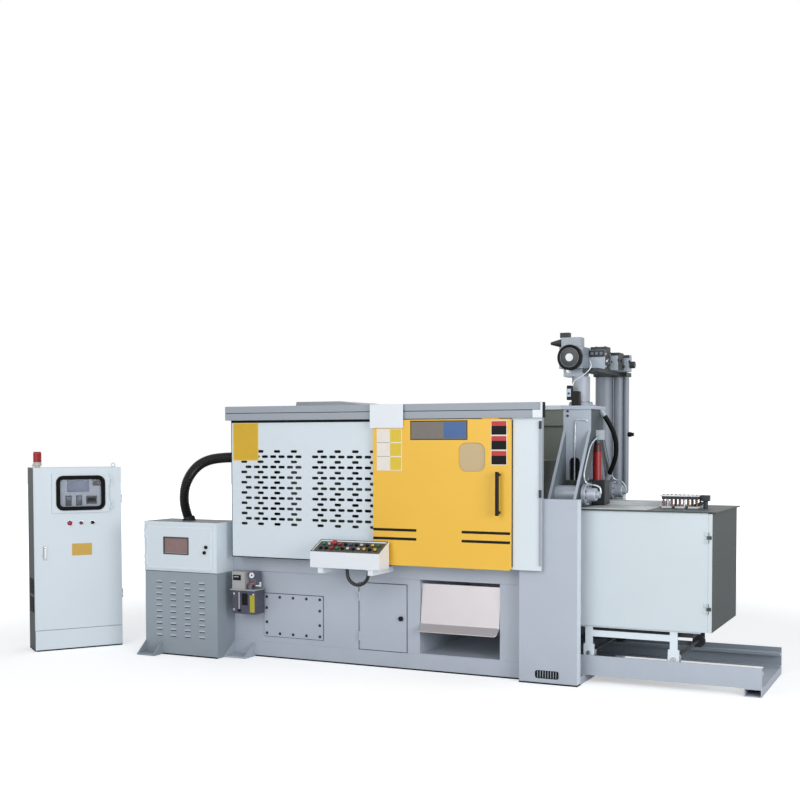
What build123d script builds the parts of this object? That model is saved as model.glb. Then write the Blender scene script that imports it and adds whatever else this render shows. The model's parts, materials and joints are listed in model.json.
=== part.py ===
from build123d import *
import math
import os

os.makedirs("parts", exist_ok=True)

# A hot-chamber die casting machine, in millimetres. +X runs along the machine from its power
# cabinet to its furnace, the operator stands at -Y, and the floor is z = 0. The origin is on the
# floor, on the machine's centre line.

# Clearances and cuts
OVERRUN = 20.0
SEAT_GAP = 0.4
PIN_CLEARANCE = 0.05
FIT_GAP = 0.3

# Bed
BED_LENGTH = 2333.0
BED_WIDTH = 1000.0
BED_HEIGHT = 645.0
BED_SETBACK = 1403.0
SKIRT_HEIGHT = 115.0
SKIRT_PROUD = 4.0
BAY_LENGTH = 605.0
BAY_END_WALL = 169.0
BAY_SILL = 122.0
BAY_HEIGHT = 520.0
BAY_DEPTH = 880.0
DROP_DEPTH = 600.0
TRAY_HEIGHT = 113.0
TRAY_PROUD = 12.0
FOOT_LENGTH = 187.0
FOOT_REACH = 140.0
FOOT_THICK = 14.0
GUSSET_HEIGHT = 105.0
GUSSET_THICK = 10.0

# Bed cover, bed door and chute
COVER_START = 270.0
COVER_DOOR_GAP = 312.0
COVER_LOW = 160.0
COVER_HEIGHT = 320.0
COVER_THICK = 8.0
BED_DOOR_BAY_GAP = 102.0
BED_DOOR_LENGTH = 370.0
BED_DOOR_LOW = 121.0
BED_DOOR_HEIGHT = 477.0
BED_DOOR_THICK = 8.0
KNOB_RADIUS = 17.0
KNOB_LENGTH = 16.0
KNOB_EDGE = 40.0
SLIDE_SIDE_GAP = 5.0
SLIDE_THICK = 4.0
SLIDE_TOP_INSET = 32.0
SLIDE_TOP_DROP = 28.0
SLIDE_BEND_RISE = 214.0
LIP_REACH = 60.0
LIP_DROP = 48.0
LIP_CHAMFER = 14.0
TAB_HEIGHT = 40.0

# Hinges
KNUCKLE_RADIUS = 6.0
KNUCKLE_LENGTH = 22.0
PIN_RADIUS = 3.0
LEAF_THICK = 2.5
LEAF_REACH = 22.0

# Posts that carry the injection unit
POST_LENGTH = 408.0
POST_THICK = 75.0
POST_SPACING = 1010.0
POST_HEIGHT = 1231.0
SLOT_LENGTH = 168.0
SLOT_LOW = 38.0
SLOT_HEIGHT = 53.0
SLOT_START = 115.0
SLOT_DEPTH = 22.0
SLOT_CORNER = 16.0
BASE_HEIGHT = 53.0

# Clamp unit inside the guard
PLATEN_WIDTH = 780.0
PLATEN_HEIGHT = 720.0
FIXED_PLATEN_THICK = 166.0
MOVING_PLATEN_THICK = 150.0
REAR_PLATEN_THICK = 140.0
DIE_SPACE = 612.0
CLAMP_END_GAP = 183.3
TIE_BAR_RADIUS = 37.0
TIE_BAR_SPACING = 560.0
TIE_BAR_RISE = 80.0
TIE_BAR_NUT_RADIUS = 58.0
TIE_BAR_NUT_LENGTH = 60.0
LINK_THICK = 60.0
LINK_HEIGHT = 90.0
CLAMP_CYLINDER_RADIUS = 95.0
CLAMP_CYLINDER_LENGTH = 150.0

# Guard
GUARD_INSET = 66.0
GUARD_OVERHANG = 173.0
GUARD_WIDTH = 1240.0
GUARD_HEIGHT = 1010.0
SHEET = 3.0
TUBE = 35.0
END_POST_INSET = 150.0
SILL_THICK = 6.0
SILL_WIDTH = 170.0
SLOTTED_LENGTH = 1237.0
RIGHT_PANEL_LENGTH = 211.0
REAR_PANEL_RISE = 90.0
VENT_LENGTH = 54.0
VENT_HEIGHT = 20.0
VENT_ROWS = 15
VENT_ROW_PITCH = 38.0
VENT_TOP = 782.5
VENT_WIDE_PITCH = 143.0
VENT_CLOSE_PITCH = 71.5
VENT_LEFT_WIDE_START = 84.0
VENT_LEFT_CLOSE_START = 122.0
VENT_RIGHT_WIDE_START = 733.0
VENT_RIGHT_CLOSE_START = 691.0
VENT_WIDE_COUNT = 4
VENT_CLOSE_COUNT = 7
HOSE_PORT_RADIUS = 41.0
HOSE_PORT_RISE = 738.0
HOSE_PORT_INSET = 50.0

# Door rail over the guard
RAIL_OVERHANG = 36.0
RAIL_LOWER_HEIGHT = 52.0
RAIL_UPPER_HEIGHT = 50.0
RAIL_GROOVE = 2.0
RAIL_DEPTH = 50.0
RAIL_PROUD = 28.0
TRACK_WIDTH = 14.0
TRACK_DEPTH = 30.0
TRACK_INSET = 3.5
RAIL_CAP_LENGTH = 16.0
RAIL_BLOCK_LENGTH = 55.0
RAIL_BLOCK_PROUD = 4.0
REAR_RAIL_HEIGHT = 31.0
REAR_RAIL_DEPTH = 22.0
COVER_PLATE_LEAD = 18.0
COVER_PLATE_LENGTH = 258.0
COVER_PLATE_DROP = 62.0
COVER_PLATE_THICK = 4.0
COVER_PLATE_GAP = 8.0

# Roof over the clamp unit
ROOF_LENGTH = 1190.0
ROOF_THICK = 4.0
HOOD_START = 330.0
HOOD_LENGTH = 700.0
HOOD_FLAT_LENGTH = 400.0
HOOD_WIDTH = 560.0
HOOD_HEIGHT = 140.0
HOOD_LEAN = 22.0
HOOD_END_HEIGHT = 95.0

# Sliding door
DOOR_END_INSET = 206.0
DOOR_LENGTH = 1028.0
DOOR_THICK = 25.0
DOOR_GAP = 11.0
DOOR_TOP_GAP = 6.0
DOOR_BOTTOM_DROP = 4.0
DOOR_CORNER = 10.0
HANGER_THICK = 13.0
HANGER_LENGTH = 120.0
HANGER_RISE = 35.5
HANGER_INSET = 90.0
WINDOW_START = 652.0
WINDOW_SIZE = 194.0
WINDOW_LOW = 655.0
WINDOW_CORNER = 55.0
WINDOW_THICK = 6.0
HANDLE_EDGE = 78.0
HANDLE_LOW = 366.0
HANDLE_LENGTH = 291.0
HANDLE_RADIUS = 13.0
HANDLE_STANDOFF = 45.0
HANDLE_POST_RADIUS = 9.0
HANDLE_POST_INSET = 20.0

# Operator's desk
DESK_LENGTH = 545.0
DESK_LEAD = 405.0
DESK_DEPTH = 150.0
DESK_GAP = 29.0
DESK_LOW = 733.0
DESK_FRONT_HEIGHT = 112.0
DESK_BACK_HEIGHT = 187.0
DESK_RIM = 12.0
DESK_RECESS = 6.0
BUTTON_RADIUS = 11.0
BUTTON_LENGTH = 14.0
UPPER_BUTTONS = 11
LOWER_BUTTONS = 11
BUTTON_PITCH = 43.0
BUTTON_ROW_SHARES = (0.32, 0.7)
STOP_BUTTON_INDEX = 2
STOP_BUTTON_RADIUS = 20.0
STOP_BUTTON_LENGTH = 28.0
DESK_ARM_WIDTH = 40.0
DESK_ARM_HEIGHT = 40.0
DESK_ARM_INSET = 55.0
CLAMP_RADIUS = 20.0
CLAMP_HEIGHT = 12.0

# The small hose that loops under the desk
DESK_HOSE_RADIUS = 12.0
DESK_HOSE_START = 255.0
DESK_HOSE_BEND = 84.0
DESK_HOSE_DROP = 33.0
DESK_HOSE_CORNERS = 6

# Power cabinet
POWER_LENGTH = 664.0
POWER_DEPTH = 330.0
POWER_FRONT = 725.0
POWER_BASE_HEIGHT = 636.0
POWER_BOX_HEIGHT = 374.0
POWER_BASE_INSET = 4.0
POWER_DOOR_LENGTH = 598.0
POWER_DOOR_HEIGHT = 335.0
POWER_DOOR_THICK = 10.0
POWER_DOOR_LOW = 14.0
POWER_WINDOW_LENGTH = 217.0
POWER_WINDOW_HEIGHT = 112.0
POWER_WINDOW_START = 160.0
POWER_WINDOW_LOW = 125.0
POWER_WINDOW_DEPTH = 4.0
LOUVRE_COLUMNS = 4
LOUVRE_ROWS = 10
LOUVRE_LENGTH = 52.0
LOUVRE_HEIGHT = 12.0
LOUVRE_PROUD = 7.0
LOUVRE_START = 108.0
LOUVRE_PITCH = 131.0
LOUVRE_LOW = 146.0
LOUVRE_ROW_PITCH = 45.0
POWER_FOOT_LENGTH = 160.0
POWER_FOOT_REACH = 100.0

# Cable hose from the power cabinet to the guard
HOSE_RADIUS = 38.0
HOSE_SETBACK = 305.0
COLLAR_RADIUS = 48.0
COLLAR_LENGTH = 24.0
POWER_HOSE_POINTS = [
    (0.0, 0.0),
    (-38.0, 88.0),
    (-50.0, 176.0),
    (-36.0, 266.0),
    (10.0, 352.0),
    (86.0, 424.0),
    (184.0, 466.0),
    (312.0, 483.0),
    (440.0, 486.0),
]

# Lubricator on the bed
LUBE_START = 83.0
LUBE_LENGTH = 200.0
LUBE_LOW = 337.0
LUBE_HEIGHT = 175.0
LUBE_DEPTH = 130.0
LUBE_BRACKET_THICK = 18.0
LUBE_BRACKET_LENGTH = 180.0
LUBE_PLATE_OVERHANG = 12.0
LUBE_PLATE_THICK = 8.0
LUBE_MOTOR_LENGTH = 112.0
LUBE_MOTOR_DEPTH = 100.0
LUBE_MOTOR_HEIGHT = 130.0
LUBE_BLOCK_LENGTH = 62.0
LUBE_BLOCK_DEPTH = 70.0
LUBE_BLOCK_HEIGHT = 124.0
LUBE_BLOCK_SETBACK = 50.0
GAUGE_RADIUS = 20.0
GAUGE_LENGTH = 22.0
FILLER_RADIUS = 17.0
FILLER_HEIGHT = 38.0
LUBE_CORNER = 10.0

# Control cabinet, which stands by itself, turned towards the operator
CABINET_X = 2844.0
CABINET_Y = 1056.0
CABINET_TURN = 53.8
CABINET_LENGTH = 660.0
CABINET_DEPTH = 250.0
CABINET_HEIGHT = 1412.0
PLINTH_HEIGHT = 158.0
CABINET_DOOR_THICK = 20.0
CABINET_DOOR_GAP = 4.0
PANE_DOOR_START = 131.0
PANE_DOOR_LENGTH = 431.0
PANE_DOOR_LOW = 1062.0
PANE_DOOR_HEIGHT = 306.0
PANE_DOOR_THICK = 14.0
PANE_LENGTH = 338.0
PANE_HEIGHT = 240.0
PANE_CORNER = 40.0
PANE_THICK = 4.0
DISPLAY_LENGTH = 165.0
DISPLAY_HEIGHT = 96.0
DISPLAY_THICK = 2.0
METER_LENGTH = 44.0
METER_HEIGHT = 78.0
WIDE_METER_LENGTH = 84.0
WIDE_METER_HEIGHT = 64.0
LAMP_RADIUS = 15.0
LAMP_LENGTH = 18.0
LAMP_HEIGHT = 982.0
LAMP_START = 263.0
LAMP_PITCH = 86.5
SWING_HANDLE_START = 62.0
SWING_HANDLE_LENGTH = 22.0
SWING_HANDLE_LOW = 702.0
SWING_HANDLE_HEIGHT = 108.0
SWING_HANDLE_THICK = 14.0
BEACON_RADIUS = 31.0
BEACON_FOOT_HEIGHT = 44.0
BEACON_HEIGHT = 80.0
BEACON_INSET = 36.0
EYE_RADIUS = 14.0
EYE_WIRE_RADIUS = 4.0
EYE_INSET = 30.0

# Furnace on its carriage
FURNACE_GAP = 70.0
FURNACE_LENGTH = 1182.0
FURNACE_WIDTH = 836.0
FURNACE_LOW = 388.0
FURNACE_HEIGHT = 767.0
FURNACE_DOOR_THICK = 27.0
FURNACE_DOOR_GAP = 5.0
FIRE_RECESS_INSET = 120.0
FIRE_RECESS_DEPTH = 60.0
LID_THICK = 8.0
LID_OVERHANG = 15.0
LID_END_OVERHANG = 22.0
LID_PLATE_THICK = 7.0
LID_PLATE_START = 300.0
LID_PLATE_LENGTH = 450.0
LID_PLATE_FRONT = 400.0
LID_PLATE_DEPTH = 480.0
LID_BEAM_DEPTH = 165.0
LID_BEAM_THICK = 35.0
BURNER_START = 757.0
BURNER_LENGTH = 266.0
BURNER_WIDTH = 150.0
BURNER_TRAY_RISE = 74.0
BURNER_TRAY_THICK = 14.0
BURNER_FOOT_THICK = 12.0
BURNER_TUBES = 6
BURNER_TUBE_RADIUS = 11.0
VALVE_LENGTH = 54.0
VALVE_WIDTH = 60.0
VALVE_HEIGHT = 40.0
VALVE_STEM_RADIUS = 16.0
CHASSIS_THICK = 12.0
PAN_THICK = 40.0
PAN_INSET = 60.0
LEG_LENGTH = 50.0
LEG_THICK = 14.0
LEG_BAR_HEIGHT = 42.0
LEG_BAR_LOW = 313.0
LEG_PITCH = 571.0
LEG_FIRST = 362.0
FORK_LENGTH = 74.0
FORK_THICK = 8.0
FORK_LOW = 172.0
FORK_TOP = 262.0
FORK_INSET = 16.0
WHEEL_RADIUS = 44.7
WHEEL_WIDTH = 26.0
WHEEL_GAP = 5.0
AXLE_RADIUS = 10.0

# Furnace rails
TRACK_RAIL_END = 1160.0
TRACK_WEB_THICK = 10.0
TRACK_WEB_HEIGHT = 134.0
TRACK_BAR_WIDTH = 58.0
TRACK_BAR_THICK = 20.0
TRACK_BAR_TOP = 155.0
TRACK_FLANGE_WIDTH = 70.0
TRACK_FLANGE_THICK = 10.0
CROSS_TUBE_LENGTH = 110.0
CROSS_TUBE_HEIGHT = 53.0
CROSS_TUBE_WALL = 6.0

# Injection frame
BRIDGE_THICK = 22.0
BRIDGE_LOW = 1173.0
TOWER_START = 160.0
TOWER_LENGTH = 200.0
TOWER_PLATE = 20.0
TOWER_APEX_WIDTH = 284.0
TOWER_FOOT_WIDTH = 984.0
TOWER_NECK_HEIGHT = 1692.0
TOWER_TOP = 1835.0
TOWER_OPENING_TOP = 1624.0
TOWER_OPENING_LOW = 1337.0
TOWER_OPENING_LOW_WIDTH = 420.0
TOWER_OPENING_TOP_WIDTH = 100.0
TOWER_CAP_THICK = 24.0
TOWER_CAP_OVERHANG = 14.0
FRONT_PLATE_LOW = 1345.0
PEEP_LENGTH = 75.0
PEEP_TOP = 1502.0
PEEP_CORNER = 30.0
PEEP_START = 45.0
BRIDGE_SLOT_WIDTH = 260.0
BRIDGE_SLOT_START = 60.0

# Carriage cylinders beside the tower
PULL_SPACING = 648.0
PULL_HEIGHT = 1256.0
PULL_RADIUS = 60.0
PULL_START = 164.0
PULL_LENGTH = 206.0
PULL_FLANGE_RADIUS = 71.0
PULL_FLANGE_LENGTH = 26.0
PULL_ROD_RADIUS = 44.0
PULL_ROD_LENGTH = 62.0
PULL_NUT_RADIUS = 24.0
PULL_NUT_LENGTH = 24.0
PULL_BORE_GAP = 1.0

# Injection cylinder and its head
SHOT_X = 241.0
SHOT_RADIUS = 63.0
SHOT_LENGTH = 180.0
SHOT_FLANGE_LENGTH = 26.0
SHOT_FLANGE_RADIUS = 84.0
NECK_LENGTH = 146.0
NECK_WIDTH = 120.0
NECK_HEIGHT = 55.0
HEAD_LENGTH = 168.0
HEAD_WIDTH = 180.0
HEAD_HEIGHT = 150.0
HEAD_SETBACK = 131.0
DISC_RADIUS = 88.0
DISC_LENGTH = 22.0
DISC_HUB_RADIUS = 27.0
DISC_HUB_LENGTH = 14.0
PILOT_LENGTH = 140.0
PILOT_WIDTH = 90.0
PILOT_HEIGHT = 70.0
NOSE_LENGTH = 92.0
NOSE_RADIUS = 34.0
NOSE_TIP_RADIUS = 10.0
CAP_BLOCK_LENGTH = 66.0
CAP_BLOCK_OVERHANG = 17.0
CAP_BLOCK_WIDTH = 50.0
CAP_BLOCK_HEIGHT = 36.0

# Valve manifold from the head to the bottles
MANIFOLD_LENGTH = 119.0
MANIFOLD_PLATE_THICK = 30.0
MANIFOLD_END = 609.0
END_BEAM_WIDTH = 135.0
FRONT_VALVE_START = 150.0
FRONT_VALVE_WIDTH = 134.0
FRONT_VALVE_HEIGHT = 135.0
MIDDLE_VALVE_START = 290.0
MIDDLE_VALVE_WIDTH = 150.0
MIDDLE_VALVE_HEIGHT = 102.0
MIDDLE_VALVE_EXTRA = 53.0
REAR_VALVE_START = 470.0
REAR_VALVE_WIDTH = 100.0
REAR_VALVE_HEIGHT = 96.0
REAR_VALVE_EXTRA = 76.0
VALVE_CAP_HEIGHT = 24.0
VALVE_CAP_INSET = 34.0
DIAL_RADIUS = 25.0
DIAL_LENGTH = 38.0

# Bottles behind the tower
BOTTLE_X = 249.0
BOTTLE_RADIUS = 66.0
SLIM_BOTTLE_X = 357.0
SLIM_BOTTLE_RADIUS = 37.0
RETURN_PIPE_X = 416.0
RETURN_PIPE_RADIUS = 20.0

# Gooseneck and plunger
PLUNGER_X = 362.0
PLUNGER_RADIUS = 31.0
PLUNGER_LOW = 1344.0
PLUNGER_HEIGHT = 256.0
GOOSE_LENGTH = 96.0
GOOSE_WIDTH = 120.0
GOOSE_LOW = 1176.0
GOOSE_FLANGE_WIDTH = 380.0
GOOSE_FLANGE_THICK = 26.0
GOOSE_START = 340.0
PLUNGER_CLAMP_LENGTH = 46.0
PLUNGER_CLAMP_WIDTH = 60.0
PLUNGER_CLAMP_HEIGHT = 68.0

# Position switch on the tower
SWITCH_START = 39.0
SWITCH_INSET = 6.0
SWITCH_BODY_LENGTH = 56.0
SWITCH_BODY_DEPTH = 44.0
SWITCH_BODY_HEIGHT = 100.0
SWITCH_SIDE_LENGTH = 34.0
SWITCH_SIDE_LOW = 40.0
SWITCH_SIDE_HEIGHT = 100.0

# Hose beside the tower, measured from its right plate, the centre line and the tower's top
TOWER_HOSE_RADIUS = 17.0
TOWER_HOSE_BOSS_RADIUS = 22.0
TOWER_HOSE_BOSS_LENGTH = 50.0
TOWER_HOSE_POINTS = [
    (22.0, 100.0, -40.0),
    (66.0, 126.0, -116.5),
    (89.0, 152.0, -202.0),
    (89.0, 178.0, -290.0),
    (66.0, 204.0, -375.5),
    (22.0, 230.0, -452.0),
]


def block(x, y, z):
    """A box from its low and high limits along each axis."""
    size = [limits[1] - limits[0] for limits in (x, y, z)]
    middle = [(limits[0] + limits[1]) / 2 for limits in (x, y, z)]
    return Pos(*middle) * Box(*size)


def bar(axis, start, radius, length):
    """A round bar that starts at a point and runs along +x, +y or +z."""
    turns = {"x": Rot(0, 90, 0), "y": Rot(-90, 0, 0), "z": Rot(0, 0, 0)}
    low = (Align.CENTER, Align.CENTER, Align.MIN)
    return Pos(*start) * turns[axis] * Cylinder(radius, length, align=low)


def prism(axis, outline, low, high):
    """An outline in YZ, XZ or XY, extruded along x, y or z."""
    place = {
        "x": lambda a, b: (low, a, b),
        "y": lambda a, b: (a, low, b),
        "z": lambda a, b: (a, b, low),
    }[axis]
    ways = {"x": (1, 0, 0), "y": (0, 1, 0), "z": (0, 0, 1)}
    face = make_face(Polyline(*[place(a, b) for a, b in outline], close=True))
    return extrude(face, amount=high - low, dir=ways[axis])


def rounded_plate(x, y, z, corner):
    """A plate in the XZ plane with rounded corners."""
    outline = RectangleRounded(x[1] - x[0], z[1] - z[0], corner)
    middle = ((x[0] + x[1]) / 2, y[1], (z[0] + z[1]) / 2)
    face = Pos(*middle) * Rot(90, 0, 0) * outline
    return extrude(face, amount=y[1] - y[0], dir=(0, -1, 0))


def save(name, *items):
    """Writes one named piece, made of one or more solids."""
    solids = [solid for item in items for solid in item.solids()]
    export_step(Compound(solids), f"parts/{name}.step")


def hinge_heights(low, high):
    """The middles of an upper and a lower hinge on a door."""
    inset = (high - low) / 5
    return low + inset, high - inset


def fixed_hinges(x, y, low, high, leaf_x, leaf_y):
    """The pins and outer knuckles of a door's two hinges, on leaves that reach the frame."""
    pieces = None
    for middle in hinge_heights(low, high):
        for side in (-1, 1):
            start = middle + side * KNUCKLE_LENGTH - KNUCKLE_LENGTH / 2 + side * SEAT_GAP
            knuckle = bar("z", (x, y, start), KNUCKLE_RADIUS, KNUCKLE_LENGTH)
            leaf = block(leaf_x, leaf_y, (start, start + KNUCKLE_LENGTH))
            pieces = knuckle + leaf if pieces is None else pieces + knuckle + leaf
        pin_low = middle - 1.5 * KNUCKLE_LENGTH
        pieces = pieces + bar("z", (x, y, pin_low), PIN_RADIUS, 3 * KNUCKLE_LENGTH)
    return pieces


def moving_hinges(x, y, low, high, leaf_x, leaf_y):
    """The middle knuckles of a door's two hinges, bored for their pins."""
    pieces = None
    bores = None
    for middle in hinge_heights(low, high):
        start = middle - KNUCKLE_LENGTH / 2
        knuckle = bar("z", (x, y, start), KNUCKLE_RADIUS, KNUCKLE_LENGTH)
        leaf = block(leaf_x, leaf_y, (start, start + KNUCKLE_LENGTH))
        bore_radius = PIN_RADIUS + PIN_CLEARANCE
        bore = bar("z", (x, y, start - OVERRUN), bore_radius, KNUCKLE_LENGTH + 2 * OVERRUN)
        pieces = knuckle + leaf if pieces is None else pieces + knuckle + leaf
        bores = bore if bores is None else bores + bore
    return pieces, bores


# Stations that several pieces share
bed_left = -BED_SETBACK
bed_right = bed_left + BED_LENGTH
bed_front = -BED_WIDTH / 2
bay_right = bed_right - BAY_END_WALL
bay_left = bay_right - BAY_LENGTH
bay_head = BAY_SILL + BAY_HEIGHT
bed_door_right = bay_left - BED_DOOR_BAY_GAP
bed_door_left = bed_door_right - BED_DOOR_LENGTH
tray_top = BED_HEIGHT + TRAY_HEIGHT
tray_front = bed_front - TRAY_PROUD
guard_left = bed_left + GUARD_INSET
guard_right = bed_right + GUARD_OVERHANG
guard_front = -GUARD_WIDTH / 2
guard_top = tray_top + GUARD_HEIGHT
sliding_right = guard_right - DOOR_END_INSET
sliding_left = sliding_right - DOOR_LENGTH
post_left = bed_right
post_right = post_left + POST_LENGTH
post_inner = POST_SPACING / 2
post_outer = post_inner + POST_THICK
furnace_left = post_left + FURNACE_GAP
furnace_right = furnace_left + FURNACE_LENGTH
furnace_front = -FURNACE_WIDTH / 2
furnace_top = FURNACE_LOW + FURNACE_HEIGHT
lid_top = furnace_top + LID_THICK
tower_left = post_left + TOWER_START
tower_right = tower_left + TOWER_LENGTH


def make_bed():
    half = BED_WIDTH / 2
    body = block((bed_left, bed_right), (-half, half), (0, BED_HEIGHT))
    skirt_half = half + SKIRT_PROUD
    body += block((bed_left, bed_right), (-skirt_half, skirt_half), (0, SKIRT_HEIGHT))
    bay_back = bed_front + BAY_DEPTH
    body -= block((bay_left, bay_right), (bed_front - OVERRUN, bay_back), (BAY_SILL, bay_head))
    drop = DROP_DEPTH / 2
    body -= block((bay_left, bay_right), (-drop, drop), (bay_head - OVERRUN, BED_HEIGHT + OVERRUN))
    for side in (-1, 1):
        near = side * skirt_half
        far = side * (half + FOOT_REACH)
        low_y, high_y = sorted((near, far))
        body += block((bed_left, bed_left + FOOT_LENGTH), (low_y, high_y), (0, FOOT_THICK))
        outline = [(near, FOOT_THICK), (far, FOOT_THICK), (near, GUSSET_HEIGHT)]
        for start in (bed_left, bed_left + FOOT_LENGTH - GUSSET_THICK):
            body += prism("x", outline, start, start + GUSSET_THICK)
    axis_x = bed_door_left - KNUCKLE_RADIUS
    axis_y = bed_front - SEAT_GAP - BED_DOOR_THICK
    leaf_x = (axis_x - LEAF_REACH, axis_x)
    door_high = BED_DOOR_LOW + BED_DOOR_HEIGHT
    body += fixed_hinges(axis_x, axis_y, BED_DOOR_LOW, door_high, leaf_x, (axis_y, bed_front))
    tray_half = half + TRAY_PROUD
    tray = block((bed_left, bed_right), (-tray_half, tray_half), (BED_HEIGHT, tray_top))
    tray -= block((bay_left, bay_right), (-drop, drop), (BED_HEIGHT - OVERRUN, tray_top + OVERRUN))
    save("bed", body + tray)


def make_bed_door():
    left = bed_door_left
    right = bed_door_right
    high = BED_DOOR_LOW + BED_DOOR_HEIGHT
    back = bed_front - SEAT_GAP
    front = back - BED_DOOR_THICK
    axis_x = left - KNUCKLE_RADIUS
    leaf_x = (axis_x, left + LEAF_REACH)
    knuckles, bores = moving_hinges(axis_x, front, BED_DOOR_LOW, high, leaf_x, (front - LEAF_THICK, front))
    door = block((left, right), (front, back), (BED_DOOR_LOW, high)) + knuckles - bores
    knob = (right - KNOB_EDGE, front - KNOB_LENGTH, (BED_DOOR_LOW + high) / 2)
    save("bed_door", door + bar("y", knob, KNOB_RADIUS, KNOB_LENGTH))


def make_access_cover():
    cover_x = (bed_left + COVER_START, bed_door_left - COVER_DOOR_GAP)
    high = COVER_LOW + COVER_HEIGHT
    face = (bed_front - COVER_THICK, bed_front)
    save("access_cover", block(cover_x, face, (COVER_LOW, high)))


def make_chute():
    left = bay_left + SLIDE_SIDE_GAP
    right = bay_right - SLIDE_SIDE_GAP
    top_y = bed_front + SLIDE_TOP_INSET
    top_z = bay_head - SLIDE_TOP_DROP
    bend_z = BAY_SILL + SLIDE_BEND_RISE
    lip_y = bed_front - LIP_REACH
    lip_z = bend_z - LIP_DROP
    outline = [
        (top_y, top_z),
        (bed_front, bend_z),
        (lip_y, lip_z),
        (lip_y, lip_z - SLIDE_THICK),
        (bed_front + SLIDE_THICK, bend_z - SLIDE_THICK),
        (top_y + SLIDE_THICK, top_z),
    ]
    slide = prism("x", outline, left, right)
    for edge, inward in ((left, 1), (right, -1)):
        corner = [
            (edge - inward * OVERRUN, lip_y - OVERRUN),
            (edge + inward * (LIP_CHAMFER + OVERRUN), lip_y - OVERRUN),
            (edge + inward * LIP_CHAMFER, lip_y),
            (edge, lip_y + LIP_CHAMFER),
            (edge - inward * OVERRUN, lip_y + LIP_CHAMFER),
        ]
        slide -= prism("z", corner, BAY_SILL, bay_head)
    tab_z = (top_z - TAB_HEIGHT, top_z)
    tab_y = (top_y + SLIDE_THICK, top_y + TAB_HEIGHT)
    for start, end in ((bay_left, left + TAB_HEIGHT), (right - TAB_HEIGHT, bay_right)):
        slide += block((start, end), (tab_y[0] - SLIDE_THICK, tab_y[1]), tab_z)
    save("chute_slide", slide)


def make_posts():
    slot_x = (post_left + SLOT_START, post_left + SLOT_START + SLOT_LENGTH)
    slot_z = (SLOT_LOW, SLOT_LOW + SLOT_HEIGHT)
    post = block((post_left, post_right), (-post_outer, -post_inner), (0, POST_HEIGHT))
    slot_y = (-post_outer - OVERRUN, -post_outer + SLOT_DEPTH)
    post -= rounded_plate(slot_x, slot_y, slot_z, SLOT_CORNER)
    save("side_posts", post, mirror(post, about=Plane.XZ))


def tie_bar_places():
    low = tray_top + TIE_BAR_RISE
    for y in (-TIE_BAR_SPACING / 2, TIE_BAR_SPACING / 2):
        for z in (low, low + TIE_BAR_SPACING):
            yield y, z


def make_platen(right, thick, bored):
    half = PLATEN_WIDTH / 2
    platen = block((right - thick, right), (-half, half), (tray_top, tray_top + PLATEN_HEIGHT))
    if bored:
        for y, z in tie_bar_places():
            start = (right - thick - OVERRUN, y, z)
            platen -= bar("x", start, TIE_BAR_RADIUS + FIT_GAP, thick + 2 * OVERRUN)
    return platen


def make_clamp_unit():
    fixed_left = bay_right + FIT_GAP
    fixed_right = fixed_left + FIXED_PLATEN_THICK
    moving_right = fixed_left - DIE_SPACE
    moving_left = moving_right - MOVING_PLATEN_THICK
    rear_left = guard_left + SHEET + CLAMP_END_GAP + CLAMP_CYLINDER_LENGTH
    rear_right = rear_left + REAR_PLATEN_THICK
    save("fixed_platen", make_platen(fixed_right, FIXED_PLATEN_THICK, False))
    bars = []
    for y, z in tie_bar_places():
        tie_bar = bar("x", (rear_left, y, z), TIE_BAR_RADIUS, fixed_left - rear_left)
        nut_start = (rear_left - TIE_BAR_NUT_LENGTH, y, z)
        tie_bar += bar("x", nut_start, TIE_BAR_NUT_RADIUS, TIE_BAR_NUT_LENGTH)
        bars.append(tie_bar)
    save("tie_bars", *bars)
    unit = make_platen(rear_right, REAR_PLATEN_THICK, True)
    unit += make_platen(moving_right, MOVING_PLATEN_THICK, True)
    middle = tray_top + TIE_BAR_RISE + TIE_BAR_SPACING / 2
    rise = TIE_BAR_SPACING / 4
    for z in (middle - rise, middle + rise):
        for y in (-LINK_THICK * 2, LINK_THICK):
            link_z = (z - LINK_HEIGHT / 2, z + LINK_HEIGHT / 2)
            unit += block((rear_right, moving_left), (y, y + LINK_THICK), link_z)
    start = (rear_left - CLAMP_CYLINDER_LENGTH, 0, middle)
    unit += bar("x", start, CLAMP_CYLINDER_RADIUS, CLAMP_CYLINDER_LENGTH)
    save("clamp_unit", unit)


def make_guard_frame():
    inner = guard_front + SHEET
    sill_right = post_left - FIT_GAP
    sill_z = (tray_top, tray_top + SILL_THICK)
    sills = []
    for side in (-1, 1):
        y = sorted((side * -inner, side * (-inner - SILL_WIDTH)))
        sills.append(block((guard_left + SHEET, sill_right), y, sill_z))
    beam_z = (guard_top - TUBE, guard_top)
    carried = (guard_left + END_POST_INSET, guard_left + SLOTTED_LENGTH - TUBE)
    stations = carried + (guard_right - RIGHT_PANEL_LENGTH, guard_right - TUBE)
    frame = None
    for side in (-1, 1):
        y = sorted((side * -inner, side * (-inner - TUBE)))
        beam = block((guard_left + SHEET, guard_right), y, beam_z)
        frame = beam if frame is None else frame + beam
        for start in stations:
            frame += block((start, start + TUBE), y, (tray_top, guard_top))
    for start in carried:
        frame += block((start, start + TUBE), (inner, -inner), beam_z)
    for sill in sills:
        frame += sill
    save("guard_frame", frame)


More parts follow.
